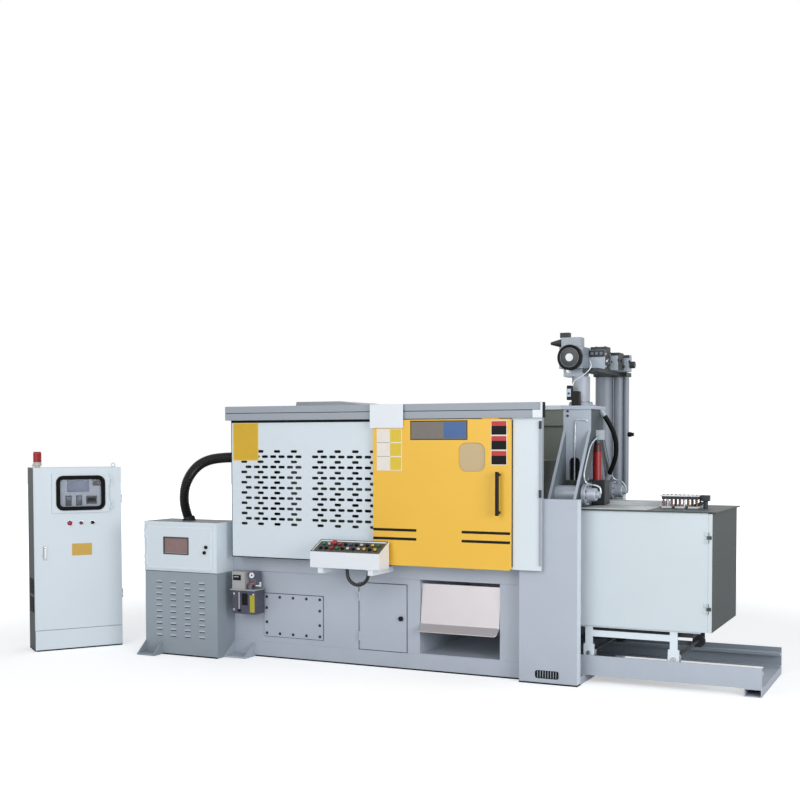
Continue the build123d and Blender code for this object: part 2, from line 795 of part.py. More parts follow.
def vent_outlines():
    """The places of the staggered vent slots, measured from the panel's left end and bottom."""
    for row in range(VENT_ROWS):
        z = VENT_TOP - row * VENT_ROW_PITCH
        if row % 2 == 0:
            starts = (VENT_LEFT_WIDE_START, VENT_RIGHT_WIDE_START)
            count = VENT_WIDE_COUNT
            pitch = VENT_WIDE_PITCH
        else:
            starts = (VENT_LEFT_CLOSE_START, VENT_RIGHT_CLOSE_START)
            count = VENT_CLOSE_COUNT
            pitch = VENT_CLOSE_PITCH
        for start in starts:
            for column in range(count):
                x = start + column * pitch
                yield x + VENT_LENGTH / 2, z


def make_slotted_panel(y):
    """The pierced front sheet, whose back lies at y, with its slots cut through."""
    vents = [Pos(x, z) * SlotOverall(VENT_LENGTH, VENT_HEIGHT) for x, z in vent_outlines()]
    sheet = Pos(SLOTTED_LENGTH / 2, GUARD_HEIGHT / 2) * Rectangle(SLOTTED_LENGTH, GUARD_HEIGHT)
    face = sheet - vents
    placed = Pos(guard_left, y, tray_top) * Rot(90, 0, 0) * face
    return extrude(placed, amount=SHEET, dir=(0, -1, 0))


def make_guard_panels():
    inner = guard_front + SHEET
    right_x = (guard_right - RIGHT_PANEL_LENGTH, guard_right)
    right = block(right_x, (guard_front, inner), (tray_top, guard_top))
    save("front_panels", make_slotted_panel(inner), right)
    rear_height = GUARD_HEIGHT + REAR_PANEL_RISE
    rear_x = (guard_left, guard_right)
    rear = block(rear_x, (-inner, -guard_front), (tray_top, tray_top + rear_height))
    rail_z = (tray_top + rear_height, tray_top + rear_height + REAR_RAIL_HEIGHT)
    rail_x = (guard_left - RAIL_OVERHANG, guard_right)
    rear += block(rail_x, (-guard_front - REAR_RAIL_DEPTH, -guard_front), rail_z)
    save("rear_panel", rear)
    end = block((guard_left, guard_left + SHEET), (inner, -inner), (tray_top, guard_top))
    port_y = guard_front + HOSE_PORT_INSET
    port_z = tray_top + HOSE_PORT_RISE
    start = (guard_left - OVERRUN, port_y, port_z)
    end -= bar("x", start, HOSE_PORT_RADIUS, SHEET + 2 * OVERRUN)
    save("left_end_panel", end)


def make_rails():
    front = guard_front - RAIL_PROUD
    back = front + RAIL_DEPTH
    left = guard_left - RAIL_OVERHANG
    lower_top = guard_top + RAIL_LOWER_HEIGHT
    top = lower_top + RAIL_UPPER_HEIGHT
    rail = block((left, guard_right), (front, back), (guard_top, top))
    groove = (lower_top - RAIL_GROOVE, lower_top + RAIL_GROOVE)
    rail -= block((left - OVERRUN, guard_right + OVERRUN), (front - OVERRUN, front + RAIL_GROOVE), groove)
    track_y = (front + TRACK_INSET, front + TRACK_INSET + TRACK_WIDTH)
    track_x = (guard_left, guard_right - RAIL_BLOCK_LENGTH)
    rail -= block(track_x, track_y, (guard_top - OVERRUN, guard_top + TRACK_DEPTH))
    save("front_rail", rail)
    block_x = (guard_right - RAIL_BLOCK_LENGTH, guard_right)
    end = block(block_x, (front - RAIL_BLOCK_PROUD, front), (guard_top, lower_top))
    cap_x = (guard_right, guard_right + RAIL_CAP_LENGTH)
    end += block(cap_x, (front - RAIL_BLOCK_PROUD, back), (guard_top, top))
    plate_left = sliding_left - COVER_PLATE_LEAD
    plate_x = (plate_left, plate_left + COVER_PLATE_LENGTH)
    plate_front = front - RAIL_PROUD + COVER_PLATE_GAP
    plate_back = plate_front + COVER_PLATE_THICK
    cover = block(plate_x, (plate_front, plate_back), (guard_top - COVER_PLATE_DROP, top))
    cover += block(plate_x, (plate_back, front), (top - COVER_PLATE_THICK, top))
    save("rail_covers", cover, end)


def make_roof():
    inner = guard_front + SHEET
    roof_left = guard_left + SHEET
    roof_z = (guard_top, guard_top + ROOF_THICK)
    roof_y = (guard_front - RAIL_PROUD + RAIL_DEPTH, -inner)
    roof = block((roof_left, roof_left + ROOF_LENGTH), roof_y, roof_z)
    low = roof_z[1]
    left = guard_left + HOOD_START
    outline = [
        (left, low),
        (left + HOOD_LENGTH, low),
        (left + HOOD_LENGTH, low + HOOD_END_HEIGHT),
        (left + HOOD_FLAT_LENGTH, low + HOOD_HEIGHT),
        (left + HOOD_LEAN, low + HOOD_HEIGHT),
    ]
    half = HOOD_WIDTH / 2
    save("guard_roof", roof + prism("y", outline, -half, half))


def make_sliding_door():
    left = sliding_left
    right = sliding_right
    back = guard_front - DOOR_GAP
    front = back - DOOR_THICK
    low = tray_top - DOOR_BOTTOM_DROP
    high = guard_top - DOOR_TOP_GAP
    door = rounded_plate((left, right), (front, back), (low, high), DOOR_CORNER)
    window_x = (left + WINDOW_START, left + WINDOW_START + WINDOW_SIZE)
    window_z = (low + WINDOW_LOW, low + WINDOW_LOW + WINDOW_SIZE)
    through = (front - OVERRUN, back + OVERRUN)
    door -= rounded_plate(window_x, through, window_z, WINDOW_CORNER)
    for start in (left + HANGER_INSET, right - HANGER_INSET - HANGER_LENGTH):
        hanger_y = (back - HANGER_THICK, back)
        door += block((start, start + HANGER_LENGTH), hanger_y, (high - HANGER_RISE, high + HANGER_RISE))
    save("sliding_door", door)
    pane_x = (window_x[0] + FIT_GAP, window_x[1] - FIT_GAP)
    pane_z = (window_z[0] + FIT_GAP, window_z[1] - FIT_GAP)
    middle = (front + back) / 2
    pane_y = (middle - WINDOW_THICK / 2, middle + WINDOW_THICK / 2)
    save("door_window", rounded_plate(pane_x, pane_y, pane_z, WINDOW_CORNER - FIT_GAP))
    x = right - HANDLE_EDGE
    y = front - HANDLE_STANDOFF
    z = low + HANDLE_LOW
    handle = bar("z", (x, y, z), HANDLE_RADIUS, HANDLE_LENGTH)
    for post_z in (z + HANDLE_POST_INSET, z + HANDLE_LENGTH - HANDLE_POST_INSET):
        handle += bar("y", (x, y, post_z), HANDLE_POST_RADIUS, HANDLE_STANDOFF)
    save("door_handle", handle)


def desk_slope():
    """The desk's limits in y, and its top height at the front and the back."""
    back = guard_front - DOOR_GAP - DOOR_THICK - DESK_GAP
    front = back - DESK_DEPTH
    return front, back, DESK_LOW + DESK_FRONT_HEIGHT, DESK_LOW + DESK_BACK_HEIGHT


def make_desk():
    left = sliding_left - DESK_LEAD
    right = left + DESK_LENGTH
    front, back, front_z, back_z = desk_slope()
    outline = [(front, DESK_LOW), (back, DESK_LOW), (back, back_z), (front, front_z)]
    desk = prism("x", outline, left, right)
    slope = (back_z - front_z) / (back - front)
    rim_front = (front + DESK_RIM, front_z + slope * DESK_RIM)
    rim_back = (back - DESK_RIM, back_z - slope * DESK_RIM)
    recess = [
        (rim_front[0], rim_front[1] - DESK_RECESS),
        (rim_back[0], rim_back[1] - DESK_RECESS),
        (rim_back[0], rim_back[1] + OVERRUN),
        (rim_front[0], rim_front[1] + OVERRUN),
    ]
    desk -= prism("x", recess, left + DESK_RIM, right - DESK_RIM)
    for x in (left + DESK_ARM_INSET, right - DESK_ARM_INSET - DESK_ARM_WIDTH):
        arm_z = (DESK_LOW - DESK_ARM_HEIGHT, DESK_LOW)
        desk += block((x, x + DESK_ARM_WIDTH), (front + DESK_RIM, tray_front), arm_z)
    clamp_x = desk_hose_x() + 2 * DESK_HOSE_BEND
    clamp_y = (front + back) / 2
    desk += bar("z", (clamp_x, clamp_y, DESK_LOW - CLAMP_HEIGHT), CLAMP_RADIUS, CLAMP_HEIGHT)
    save("control_desk", desk)
    tilt = math.degrees(math.atan(slope))
    buttons = []
    middle_x = (left + right) / 2
    rows = zip(BUTTON_ROW_SHARES, (LOWER_BUTTONS, UPPER_BUTTONS))
    for row, (share, count) in enumerate(rows):
        y = rim_front[0] + share * (rim_back[0] - rim_front[0])
        z = rim_front[1] + slope * (y - rim_front[0]) - DESK_RECESS
        for index in range(count):
            x = middle_x + (index - (count - 1) / 2) * BUTTON_PITCH
            stop = row == 1 and index == STOP_BUTTON_INDEX
            radius = STOP_BUTTON_RADIUS if stop else BUTTON_RADIUS
            length = STOP_BUTTON_LENGTH if stop else BUTTON_LENGTH
            low = (Align.CENTER, Align.CENTER, Align.MIN)
            buttons.append(Pos(x, y, z) * Rot(tilt, 0, 0) * Cylinder(radius, length, align=low))
    save("desk_buttons", *buttons)


def desk_hose_x():
    return sliding_left - DESK_LEAD + DESK_HOSE_START


def tube_along(points, radius):
    """A round tube of straight runs joined by arcs as large as the runs allow."""
    corners = [Vector(*point) for point in points]
    radii = []
    for before, here, after in zip(corners, corners[1:], corners[2:]):
        turn = (here - before).get_angle(after - here)
        shorter = min((here - before).length, (after - here).length)
        radii.append(0.45 * shorter / math.tan(math.radians(turn) / 2))
    print("bend radii", [round(value) for value in radii])
    path = FilletPolyline(*corners, radius=radii)
    section = Plane(origin=corners[0], z_dir=corners[1] - corners[0]) * Circle(radius)
    tube = sweep(section, path=path)
    share = tube.volume / (path.length * math.pi * radius**2)
    print("tube length", round(path.length), "volume share", share)
    return tube


def make_desk_hose():
    """The hose that loops under the desk: straight down, round a half circle and up again."""
    x = desk_hose_x() + DESK_HOSE_BEND
    y = sum(desk_slope()[:2]) / 2
    z = DESK_LOW - DESK_HOSE_DROP
    step = 180 / DESK_HOSE_CORNERS
    reach = DESK_HOSE_BEND / math.cos(math.radians(step / 2))
    points = [(x - DESK_HOSE_BEND, y, DESK_LOW)]
    for index in range(DESK_HOSE_CORNERS):
        angle = math.radians(180 + step * (index + 0.5))
        points.append((x + reach * math.cos(angle), y, z + reach * math.sin(angle)))
    points.append((x + DESK_HOSE_BEND, y, DESK_LOW - CLAMP_HEIGHT))
    save("desk_hose", tube_along(points, DESK_HOSE_RADIUS))


def make_power_cabinet():
    right = bed_left
    left = right - POWER_LENGTH
    front = -POWER_FRONT
    back = front + POWER_DEPTH
    inset = POWER_BASE_INSET
    base_front = front + inset
    base = block((left + inset, right), (base_front, back - inset), (0, POWER_BASE_HEIGHT))
    for column in range(LOUVRE_COLUMNS):
        x = left + LOUVRE_START + column * LOUVRE_PITCH
        for row in range(LOUVRE_ROWS):
            z = LOUVRE_LOW + row * LOUVRE_ROW_PITCH
            outline = [
                (base_front, z),
                (base_front - LOUVRE_PROUD, z),
                (base_front, z + LOUVRE_HEIGHT),
            ]
            base += prism("x", outline, x, x + LOUVRE_LENGTH)
    for near, far in ((base_front, front - POWER_FOOT_REACH), (back - inset, back + POWER_FOOT_REACH)):
        base += block((left, left + POWER_FOOT_LENGTH), sorted((near, far)), (0, FOOT_THICK))
        outline = [(near, FOOT_THICK), (far, FOOT_THICK), (near, GUSSET_HEIGHT)]
        for start in (left + inset, left + POWER_FOOT_LENGTH - GUSSET_THICK):
            base += prism("x", outline, start, start + GUSSET_THICK)
    save("power_cabinet_base", base)
    top = POWER_BASE_HEIGHT + POWER_BOX_HEIGHT
    box = block((left, right), (front, back), (POWER_BASE_HEIGHT, top))
    door_left = left + (POWER_LENGTH - POWER_DOOR_LENGTH) / 2
    door_right = door_left + POWER_DOOR_LENGTH
    door_low = POWER_BASE_HEIGHT + POWER_DOOR_LOW
    door_high = door_low + POWER_DOOR_HEIGHT
    door_back = front - SEAT_GAP
    door_front = door_back - POWER_DOOR_THICK
    axis_x = door_left - KNUCKLE_RADIUS
    leaf_x = (axis_x - LEAF_REACH, axis_x)
    box += fixed_hinges(axis_x, door_front, door_low, door_high, leaf_x, (door_front, front))
    foot, corner = hose_points()[:2]
    lean = (corner - foot).normalized()
    low = (Align.CENTER, Align.CENTER, Align.MIN)
    collar_plane = Plane(origin=foot - lean * COLLAR_RADIUS, z_dir=lean)
    collar = collar_plane * Cylinder(COLLAR_RADIUS, COLLAR_LENGTH + COLLAR_RADIUS, align=low)
    save("power_cabinet_box", box + collar)
    moving_leaf = (axis_x, door_left + LEAF_REACH)
    knuckles, bores = moving_hinges(
        axis_x, door_front, door_low, door_high, moving_leaf, (door_front - LEAF_THICK, door_front)
    )
    door = block((door_left, door_right), (door_front, door_back), (door_low, door_high))
    door = door + knuckles - bores
    window_x = (door_left + POWER_WINDOW_START, door_left + POWER_WINDOW_START + POWER_WINDOW_LENGTH)
    window_z = (door_low + POWER_WINDOW_LOW, door_low + POWER_WINDOW_LOW + POWER_WINDOW_HEIGHT)
    window_y = (door_front - OVERRUN, door_front + POWER_WINDOW_DEPTH)
    door -= block(window_x, window_y, window_z)
    save("power_cabinet_door", door)


def hose_plane_y():
    return guard_front + HOSE_PORT_INSET


def hose_points():
    """The middle line of the ribbed hose, from the power cabinet's top to the guard's end."""
    x = bed_left - POWER_LENGTH + HOSE_SETBACK
    top = POWER_BASE_HEIGHT + POWER_BOX_HEIGHT
    return [Vector(x + dx, hose_plane_y(), top + dz) for dx, dz in POWER_HOSE_POINTS]


def make_power_hose():
    foot, corner, *rest = hose_points()
    start = foot + (corner - foot).normalized() * COLLAR_LENGTH
    save("power_hose", tube_along([start, corner, *rest], HOSE_RADIUS))


def make_lubricator():
    left = bed_left + LUBE_START
    right = left + LUBE_LENGTH
    high = LUBE_LOW + LUBE_HEIGHT
    back = bed_front - LUBE_BRACKET_THICK
    front = back - LUBE_DEPTH
    tank = block((left, right), (front, back), (LUBE_LOW, high))
    tank = fillet(tank.edges().filter_by(Axis.Z), LUBE_CORNER)
    bracket_x = (left, left + LUBE_BRACKET_LENGTH)
    save("lube_tank", tank + block(bracket_x, (back, bed_front), (LUBE_LOW, high)))
    plate_left = left - LUBE_PLATE_OVERHANG
    plate_z = (high, high + LUBE_PLATE_THICK)
    pump = block((plate_left, right), (front - LUBE_PLATE_OVERHANG, bed_front), plate_z)
    motor_x = (left, left + LUBE_MOTOR_LENGTH)
    motor_z = (plate_z[1], plate_z[1] + LUBE_MOTOR_HEIGHT)
    pump += block(motor_x, (front, front + LUBE_MOTOR_DEPTH), motor_z)
    block_x = (motor_x[1], motor_x[1] + LUBE_BLOCK_LENGTH)
    block_y = (front + LUBE_BLOCK_SETBACK, front + LUBE_BLOCK_SETBACK + LUBE_BLOCK_DEPTH)
    block_z = (plate_z[1], plate_z[1] + LUBE_BLOCK_HEIGHT)
    pump += block(block_x, block_y, block_z)
    filler_x = (motor_x[1] + block_x[1]) / 2
    filler_y = (front + block_y[0]) / 2
    pump += bar("z", (filler_x, filler_y, plate_z[1]), FILLER_RADIUS, FILLER_HEIGHT)
    gauge_x = block_x[1] - GAUGE_RADIUS
    gauge_z = block_z[1] - GAUGE_RADIUS
    pump += bar("y", (gauge_x, block_y[0] - GAUGE_LENGTH, gauge_z), GAUGE_RADIUS, GAUGE_LENGTH)
    save("lube_pump", pump)


def cabinet_place():
    """The control cabinet's own frame: x along its front, -y out of its front, z up."""
    return Pos(-CABINET_X, -CABINET_Y, 0) * Rot(0, 0, CABINET_TURN)


def make_control_cabinet():
    place = cabinet_place()
    front = CABINET_DOOR_THICK + SEAT_GAP
    body = block((0, CABINET_LENGTH), (front, CABINET_DEPTH), (0, CABINET_HEIGHT))
    body += block((0, CABINET_LENGTH), (0, front), (0, PLINTH_HEIGHT))
    door_low = PLINTH_HEIGHT + CABINET_DOOR_GAP
    axis_x = CABINET_LENGTH + KNUCKLE_RADIUS
    axis_y = front - SEAT_GAP
    fixed_leaf_y = (axis_y, front + LEAF_REACH)
    fixed_leaf_x = (CABINET_LENGTH, axis_x)
    body += fixed_hinges(axis_x, axis_y, door_low, CABINET_HEIGHT, fixed_leaf_x, fixed_leaf_y)
    for x in (EYE_INSET, CABINET_LENGTH - EYE_INSET):
        ring_z = CABINET_HEIGHT + EYE_RADIUS + EYE_WIRE_RADIUS / 2
        ring = Pos(x, CABINET_DEPTH / 2, ring_z) * Rot(90, 0, 0) * Torus(EYE_RADIUS, EYE_WIRE_RADIUS)
        body += ring
    save("control_cabinet", place * body)
    leaf_x = (CABINET_LENGTH - LEAF_THICK, axis_x)
    leaf_y = (axis_y - LEAF_REACH, axis_y)
    knuckles, bores = moving_hinges(axis_x, axis_y, door_low, CABINET_HEIGHT, leaf_x, leaf_y)
    door_z = (door_low, CABINET_HEIGHT)
    door = block((0, CABINET_LENGTH), (0, CABINET_DOOR_THICK), door_z) + knuckles - bores
    pane_right = PANE_DOOR_START + PANE_DOOR_LENGTH
    pane_high = PANE_DOOR_LOW + PANE_DOOR_HEIGHT
    pane_axis_x = pane_right + KNUCKLE_RADIUS
    pane_axis_y = -SEAT_GAP - PANE_DOOR_THICK
    pane_leaf_x = (pane_axis_x, pane_axis_x + LEAF_REACH)
    door += fixed_hinges(pane_axis_x, pane_axis_y, PANE_DOOR_LOW, pane_high, pane_leaf_x, (pane_axis_y, 0))
    handle_x = (SWING_HANDLE_START, SWING_HANDLE_START + SWING_HANDLE_LENGTH)
    handle_z = (SWING_HANDLE_LOW, SWING_HANDLE_LOW + SWING_HANDLE_HEIGHT)
    handle = block(handle_x, (-SWING_HANDLE_THICK, 0), handle_z)
    save("control_cabinet_door", place * door)
    knuckles, bores = moving_hinges(
        pane_axis_x,
        pane_axis_y,
        PANE_DOOR_LOW,
        pane_high,
        (pane_right - LEAF_REACH, pane_axis_x),
        (pane_axis_y - LEAF_THICK, pane_axis_y),
    )
    pane_x = (PANE_DOOR_START, pane_right)
    pane_y = (pane_axis_y, -SEAT_GAP)
    pane_door = block(pane_x, pane_y, (PANE_DOOR_LOW, pane_high)) + knuckles - bores
    glass_x0 = (PANE_DOOR_START + pane_right - PANE_LENGTH) / 2
    glass_z0 = (PANE_DOOR_LOW + pane_high - PANE_HEIGHT) / 2
    glass_x = (glass_x0, glass_x0 + PANE_LENGTH)
    glass_z = (glass_z0, glass_z0 + PANE_HEIGHT)
    through = (pane_y[0] - OVERRUN, pane_y[1] + OVERRUN)
    pane_door -= rounded_plate(glass_x, through, glass_z, PANE_CORNER)
    save("instrument_door", place * pane_door)
    glass_y = (pane_y[0] + PANE_THICK / 2, pane_y[0] + 3 * PANE_THICK / 2)
    glass = rounded_plate(
        (glass_x[0] + FIT_GAP, glass_x[1] - FIT_GAP),
        glass_y,
        (glass_z[0] + FIT_GAP, glass_z[1] - FIT_GAP),
        PANE_CORNER - FIT_GAP,
    )
    save("instrument_glass", place * glass)
    pieces = [handle]
    display_z = (glass_z[1] - DISPLAY_HEIGHT - PANE_CORNER / 2, glass_z[1] - PANE_CORNER / 2)
    display_x = (glass_x[0] + PANE_CORNER, glass_x[0] + PANE_CORNER + DISPLAY_LENGTH)
    meter_y = (-DISPLAY_THICK, 0)
    pieces.append(block(display_x, meter_y, display_z))
    meter_low = glass_z[0] + PANE_CORNER / 2
    for column in range(2):
        x = display_x[0] + column * DISPLAY_LENGTH / 2
        pieces.append(block((x, x + METER_LENGTH), meter_y, (meter_low, meter_low + METER_HEIGHT)))
    wide_x = (glass_x[1] - PANE_CORNER - WIDE_METER_LENGTH, glass_x[1] - PANE_CORNER)
    pieces.append(block(wide_x, meter_y, (meter_low, meter_low + WIDE_METER_HEIGHT)))
    for index in range(3):
        start = (LAMP_START + index * LAMP_PITCH, -LAMP_LENGTH, LAMP_HEIGHT)
        pieces.append(bar("y", start, LAMP_RADIUS, LAMP_LENGTH))
    save("cabinet_instruments", *[place * piece for piece in pieces])
    beacon = bar("z", (BEACON_INSET, BEACON_INSET, CABINET_HEIGHT), BEACON_RADIUS, BEACON_FOOT_HEIGHT)
    top = CABINET_HEIGHT + BEACON_FOOT_HEIGHT
    beacon += bar("z", (BEACON_INSET, BEACON_INSET, top), BEACON_RADIUS, BEACON_HEIGHT)
    save("beacon", place * beacon)


def leg_stations():
    first = furnace_left + LEG_FIRST
    return first, first + LEG_PITCH


def make_furnace():
    door_left = furnace_right - FURNACE_DOOR_THICK
    shell_right = door_left - SEAT_GAP
    half = FURNACE_WIDTH / 2
    shell = block((furnace_left, shell_right), (-half, half), (FURNACE_LOW, furnace_top))
    recess_y = half - FIRE_RECESS_INSET
    recess_z = (FURNACE_LOW + FIRE_RECESS_INSET, furnace_top - FIRE_RECESS_INSET)
    shell -= block((shell_right - FIRE_RECESS_DEPTH, shell_right + OVERRUN), (-recess_y, recess_y), recess_z)
    door_low = FURNACE_LOW
    door_high = furnace_top - FURNACE_DOOR_GAP
    axis_x = door_left
    axis_y = furnace_front - KNUCKLE_RADIUS
    fixed_leaf_x = (axis_x - LEAF_REACH, axis_x)
    fixed_leaf_y = (axis_y, furnace_front)
    shell += fixed_hinges(axis_x, axis_y, door_low, door_high, fixed_leaf_x, fixed_leaf_y)
    save("furnace_shell", shell)
    leaf_x = (axis_x, axis_x + LEAF_REACH)
    leaf_y = (axis_y, furnace_front + LEAF_THICK)
    knuckles, bores = moving_hinges(axis_x, axis_y, door_low, door_high, leaf_x, leaf_y)
    door = block((door_left, furnace_right), (-half, half), (door_low, door_high)) + knuckles - bores
    save("furnace_door", door)
    lid_x = (furnace_left, furnace_right + LID_END_OVERHANG)
    lid_half = half + LID_OVERHANG
    lid = block(lid_x, (-lid_half, lid_half), (furnace_top, lid_top))
    plate_left = furnace_left + LID_PLATE_START
    plate_x = (plate_left, plate_left + LID_PLATE_LENGTH)
    plate_back = -LID_PLATE_FRONT + LID_PLATE_DEPTH
    lid += block(plate_x, (-LID_PLATE_FRONT, plate_back), (lid_top, lid_top + LID_PLATE_THICK))
    lid += block(plate_x, (plate_back, plate_back + LID_BEAM_DEPTH), (lid_top, lid_top + LID_BEAM_THICK))
    save("furnace_lid", lid)
    make_burner()


def make_burner():
    left = furnace_left + BURNER_START
    right = left + BURNER_LENGTH
    half = BURNER_WIDTH / 2
    tray_low = lid_top + BURNER_TRAY_RISE
    burner = block((left, right), (-half, half), (tray_low, tray_low + BURNER_TRAY_THICK))
    burner += block((left, right), (-half, half), (lid_top, lid_top + BURNER_FOOT_THICK))
    pitch = BURNER_LENGTH / BURNER_TUBES
    for index in range(BURNER_TUBES):
        for y in (-half / 2, half / 2):
            x = left + (index + 0.5) * pitch
            burner += bar("z", (x, y, lid_top), BURNER_TUBE_RADIUS, BURNER_TRAY_RISE)
    valve_x = (right, right + VALVE_LENGTH)
    valve_half = VALVE_WIDTH / 2
    valve_z = (tray_low + BURNER_TRAY_THICK - VALVE_HEIGHT, tray_low + BURNER_TRAY_THICK)
    burner += block(valve_x, (-valve_half, valve_half), valve_z)
    stem = (right + VALVE_LENGTH / 2, 0, lid_top)
    burner += bar("z", stem, VALVE_STEM_RADIUS, valve_z[0] - lid_top)
    save("burner_set", burner)


def make_carriage():
    fork_out = furnace_front + FORK_INSET
    axle_z = TRACK_BAR_TOP + FIT_GAP + WHEEL_RADIUS
    first, second = leg_stations()
    chassis_low = FURNACE_LOW - CHASSIS_THICK
    chassis_x = (first - FORK_LENGTH, furnace_right - FORK_LENGTH)
    chassis_half = FURNACE_WIDTH / 2 - FORK_INSET
    chassis = block(chassis_x, (-chassis_half, chassis_half), (chassis_low, FURNACE_LOW))
    pan_x = (chassis_x[0] + PAN_INSET, chassis_x[1] - PAN_INSET)
    pan_half = chassis_half - PAN_INSET
    chassis += block(pan_x, (-pan_half, pan_half), (chassis_low - PAN_THICK, chassis_low))
    bar_z = (LEG_BAR_LOW, LEG_BAR_LOW + LEG_BAR_HEIGHT)
    for side in (-1, 1):
        leg_y = sorted((side * -fork_out, side * (-fork_out - LEG_THICK)))
        fork_y = sorted((side * -fork_out, side * (-fork_out - FORK_THICK)))
        for x in (first, second):
            chassis += block((x - LEG_LENGTH / 2, x + LEG_LENGTH / 2), leg_y, (FORK_TOP, chassis_low))
            chassis += block((x - FORK_LENGTH / 2, x + FORK_LENGTH / 2), fork_y, (FORK_LOW, FORK_TOP))
        chassis += block((first, second), leg_y, bar_z)
    bores = None
    for x in (first, second):
        start = (x, furnace_front - OVERRUN, axle_z)
        bore = bar("y", start, AXLE_RADIUS + PIN_CLEARANCE, FURNACE_WIDTH + 2 * OVERRUN)
        bores = bore if bores is None else bores + bore
    save("furnace_carriage", chassis - bores)
    wheel_out = fork_out + FORK_THICK + WHEEL_GAP
    for name, x in (("inner_wheelset", first), ("outer_wheelset", second)):
        wheelset = bar("y", (x, fork_out - FIT_GAP, axle_z), AXLE_RADIUS, -2 * (fork_out - FIT_GAP))
        for side in (-1, 1):
            start = wheel_out if side < 0 else -wheel_out - WHEEL_WIDTH
            wheelset += bar("y", (x, start, axle_z), WHEEL_RADIUS, WHEEL_WIDTH)
        save(name, wheelset)


def make_furnace_rails():
    right = post_right + TRACK_RAIL_END
    low = BASE_HEIGHT
    outer = -furnace_front
    rails = block((post_left, post_right), (-post_inner, post_inner), (0, BASE_HEIGHT))
    for side in (-1, 1):
        web_y = sorted((side * outer, side * (outer - TRACK_WEB_THICK)))
        rails += block((post_left, right), web_y, (low, low + TRACK_WEB_HEIGHT))
        bar_y = sorted((side * (outer - TRACK_WEB_THICK), side * (outer - TRACK_WEB_THICK - TRACK_BAR_WIDTH)))
        rails += block((post_left, right), bar_y, (TRACK_BAR_TOP - TRACK_BAR_THICK, TRACK_BAR_TOP))
        flange_y = sorted((side * outer, side * (outer - TRACK_FLANGE_WIDTH)))
        rails += block((post_left, right), flange_y, (low, low + TRACK_FLANGE_THICK))
    tube_x = (right - CROSS_TUBE_LENGTH, right)
    tube = block(tube_x, (-outer, outer), (0, CROSS_TUBE_HEIGHT))
    wall = CROSS_TUBE_WALL
    tube -= block(
        (tube_x[0] + wall, tube_x[1] - wall),
        (-outer - OVERRUN, outer + OVERRUN),
        (wall, CROSS_TUBE_HEIGHT - wall),
    )
    save("furnace_rails", rails + tube)


def make_injection_frame():
    bridge_high = BRIDGE_LOW + BRIDGE_THICK
    bridge = block((tower_left, tower_right), (-post_inner, post_inner), (BRIDGE_LOW, bridge_high))
    slot_x = (tower_left + BRIDGE_SLOT_START, tower_right + OVERRUN)
    slot = BRIDGE_SLOT_WIDTH / 2
    bridge -= block(slot_x, (-slot, slot), (BRIDGE_LOW - OVERRUN, bridge_high + OVERRUN))
    apex = TOWER_APEX_WIDTH / 2
    foot = TOWER_FOOT_WIDTH / 2
    outer = [
        (-foot, bridge_high),
        (foot, bridge_high),
        (apex, TOWER_NECK_HEIGHT),
        (apex, TOWER_TOP),
        (-apex, TOWER_TOP),
        (-apex, TOWER_NECK_HEIGHT),
    ]
    low_half = TOWER_OPENING_LOW_WIDTH / 2
    top_half = TOWER_OPENING_TOP_WIDTH / 2
    opening = [
        (-low_half, bridge_high - OVERRUN),
        (low_half, bridge_high - OVERRUN),
        (low_half, TOWER_OPENING_LOW),
        (top_half, TOWER_OPENING_TOP),
        (-top_half, TOWER_OPENING_TOP),
        (-low_half, TOWER_OPENING_LOW),
    ]
    frame = bridge
    for start in (tower_left, tower_right - TOWER_PLATE):
        plate = prism("x", outer, start, start + TOWER_PLATE)
        plate -= prism("x", opening, start - OVERRUN, start + TOWER_PLATE + OVERRUN)
        for y in (-PULL_SPACING / 2, PULL_SPACING / 2):
            bore = (start - OVERRUN, y, PULL_HEIGHT)
            plate -= bar("x", bore, PULL_RADIUS + PULL_BORE_GAP, TOWER_PLATE + 2 * OVERRUN)
        frame += plate
    plate_z = (FRONT_PLATE_LOW, TOWER_TOP)
    for side in (-1, 1):
        y = sorted((side * apex, side * (apex - TOWER_PLATE)))
        front_x = (tower_left + TOWER_PLATE, tower_right - TOWER_PLATE)
        frame += block(front_x, y, plate_z)
    peep_x = (tower_left + PEEP_START, tower_left + PEEP_START + PEEP_LENGTH)
    peep_z = (FRONT_PLATE_LOW - 2 * PEEP_CORNER, PEEP_TOP)
    peep_y = (-apex - OVERRUN, -apex + TOWER_PLATE + OVERRUN)
    frame -= rounded_plate(peep_x, peep_y, peep_z, PEEP_CORNER)
    over = TOWER_CAP_OVERHANG
    cap_z = (TOWER_TOP, TOWER_TOP + TOWER_CAP_THICK)
    frame += block((tower_left - over, tower_right + over), (-apex - over, apex + over), cap_z)
    clamp_x = (tower_right, tower_right + PLUNGER_CLAMP_LENGTH)
    clamp_half = PLUNGER_CLAMP_WIDTH / 2
    clamp_z = (TOWER_OPENING_TOP, TOWER_OPENING_TOP + PLUNGER_CLAMP_HEIGHT)
    frame += block(clamp_x, (-clamp_half, clamp_half), clamp_z)
    save("injection_frame", frame)


def make_pull_cylinders():
    left = post_left + PULL_START
    cylinders = []
    for y in (-PULL_SPACING / 2, PULL_SPACING / 2):
        body = bar("x", (left, y, PULL_HEIGHT), PULL_RADIUS, PULL_LENGTH)
        x = left + PULL_LENGTH
        for radius, length in (
            (PULL_FLANGE_RADIUS, PULL_FLANGE_LENGTH),
            (PULL_ROD_RADIUS, PULL_ROD_LENGTH),
            (PULL_NUT_RADIUS, PULL_NUT_LENGTH),
        ):
            body += bar("x", (x, y, PULL_HEIGHT), radius, length)
            x += length
        cylinders.append(body)
    save("carriage_cylinders", *cylinders)


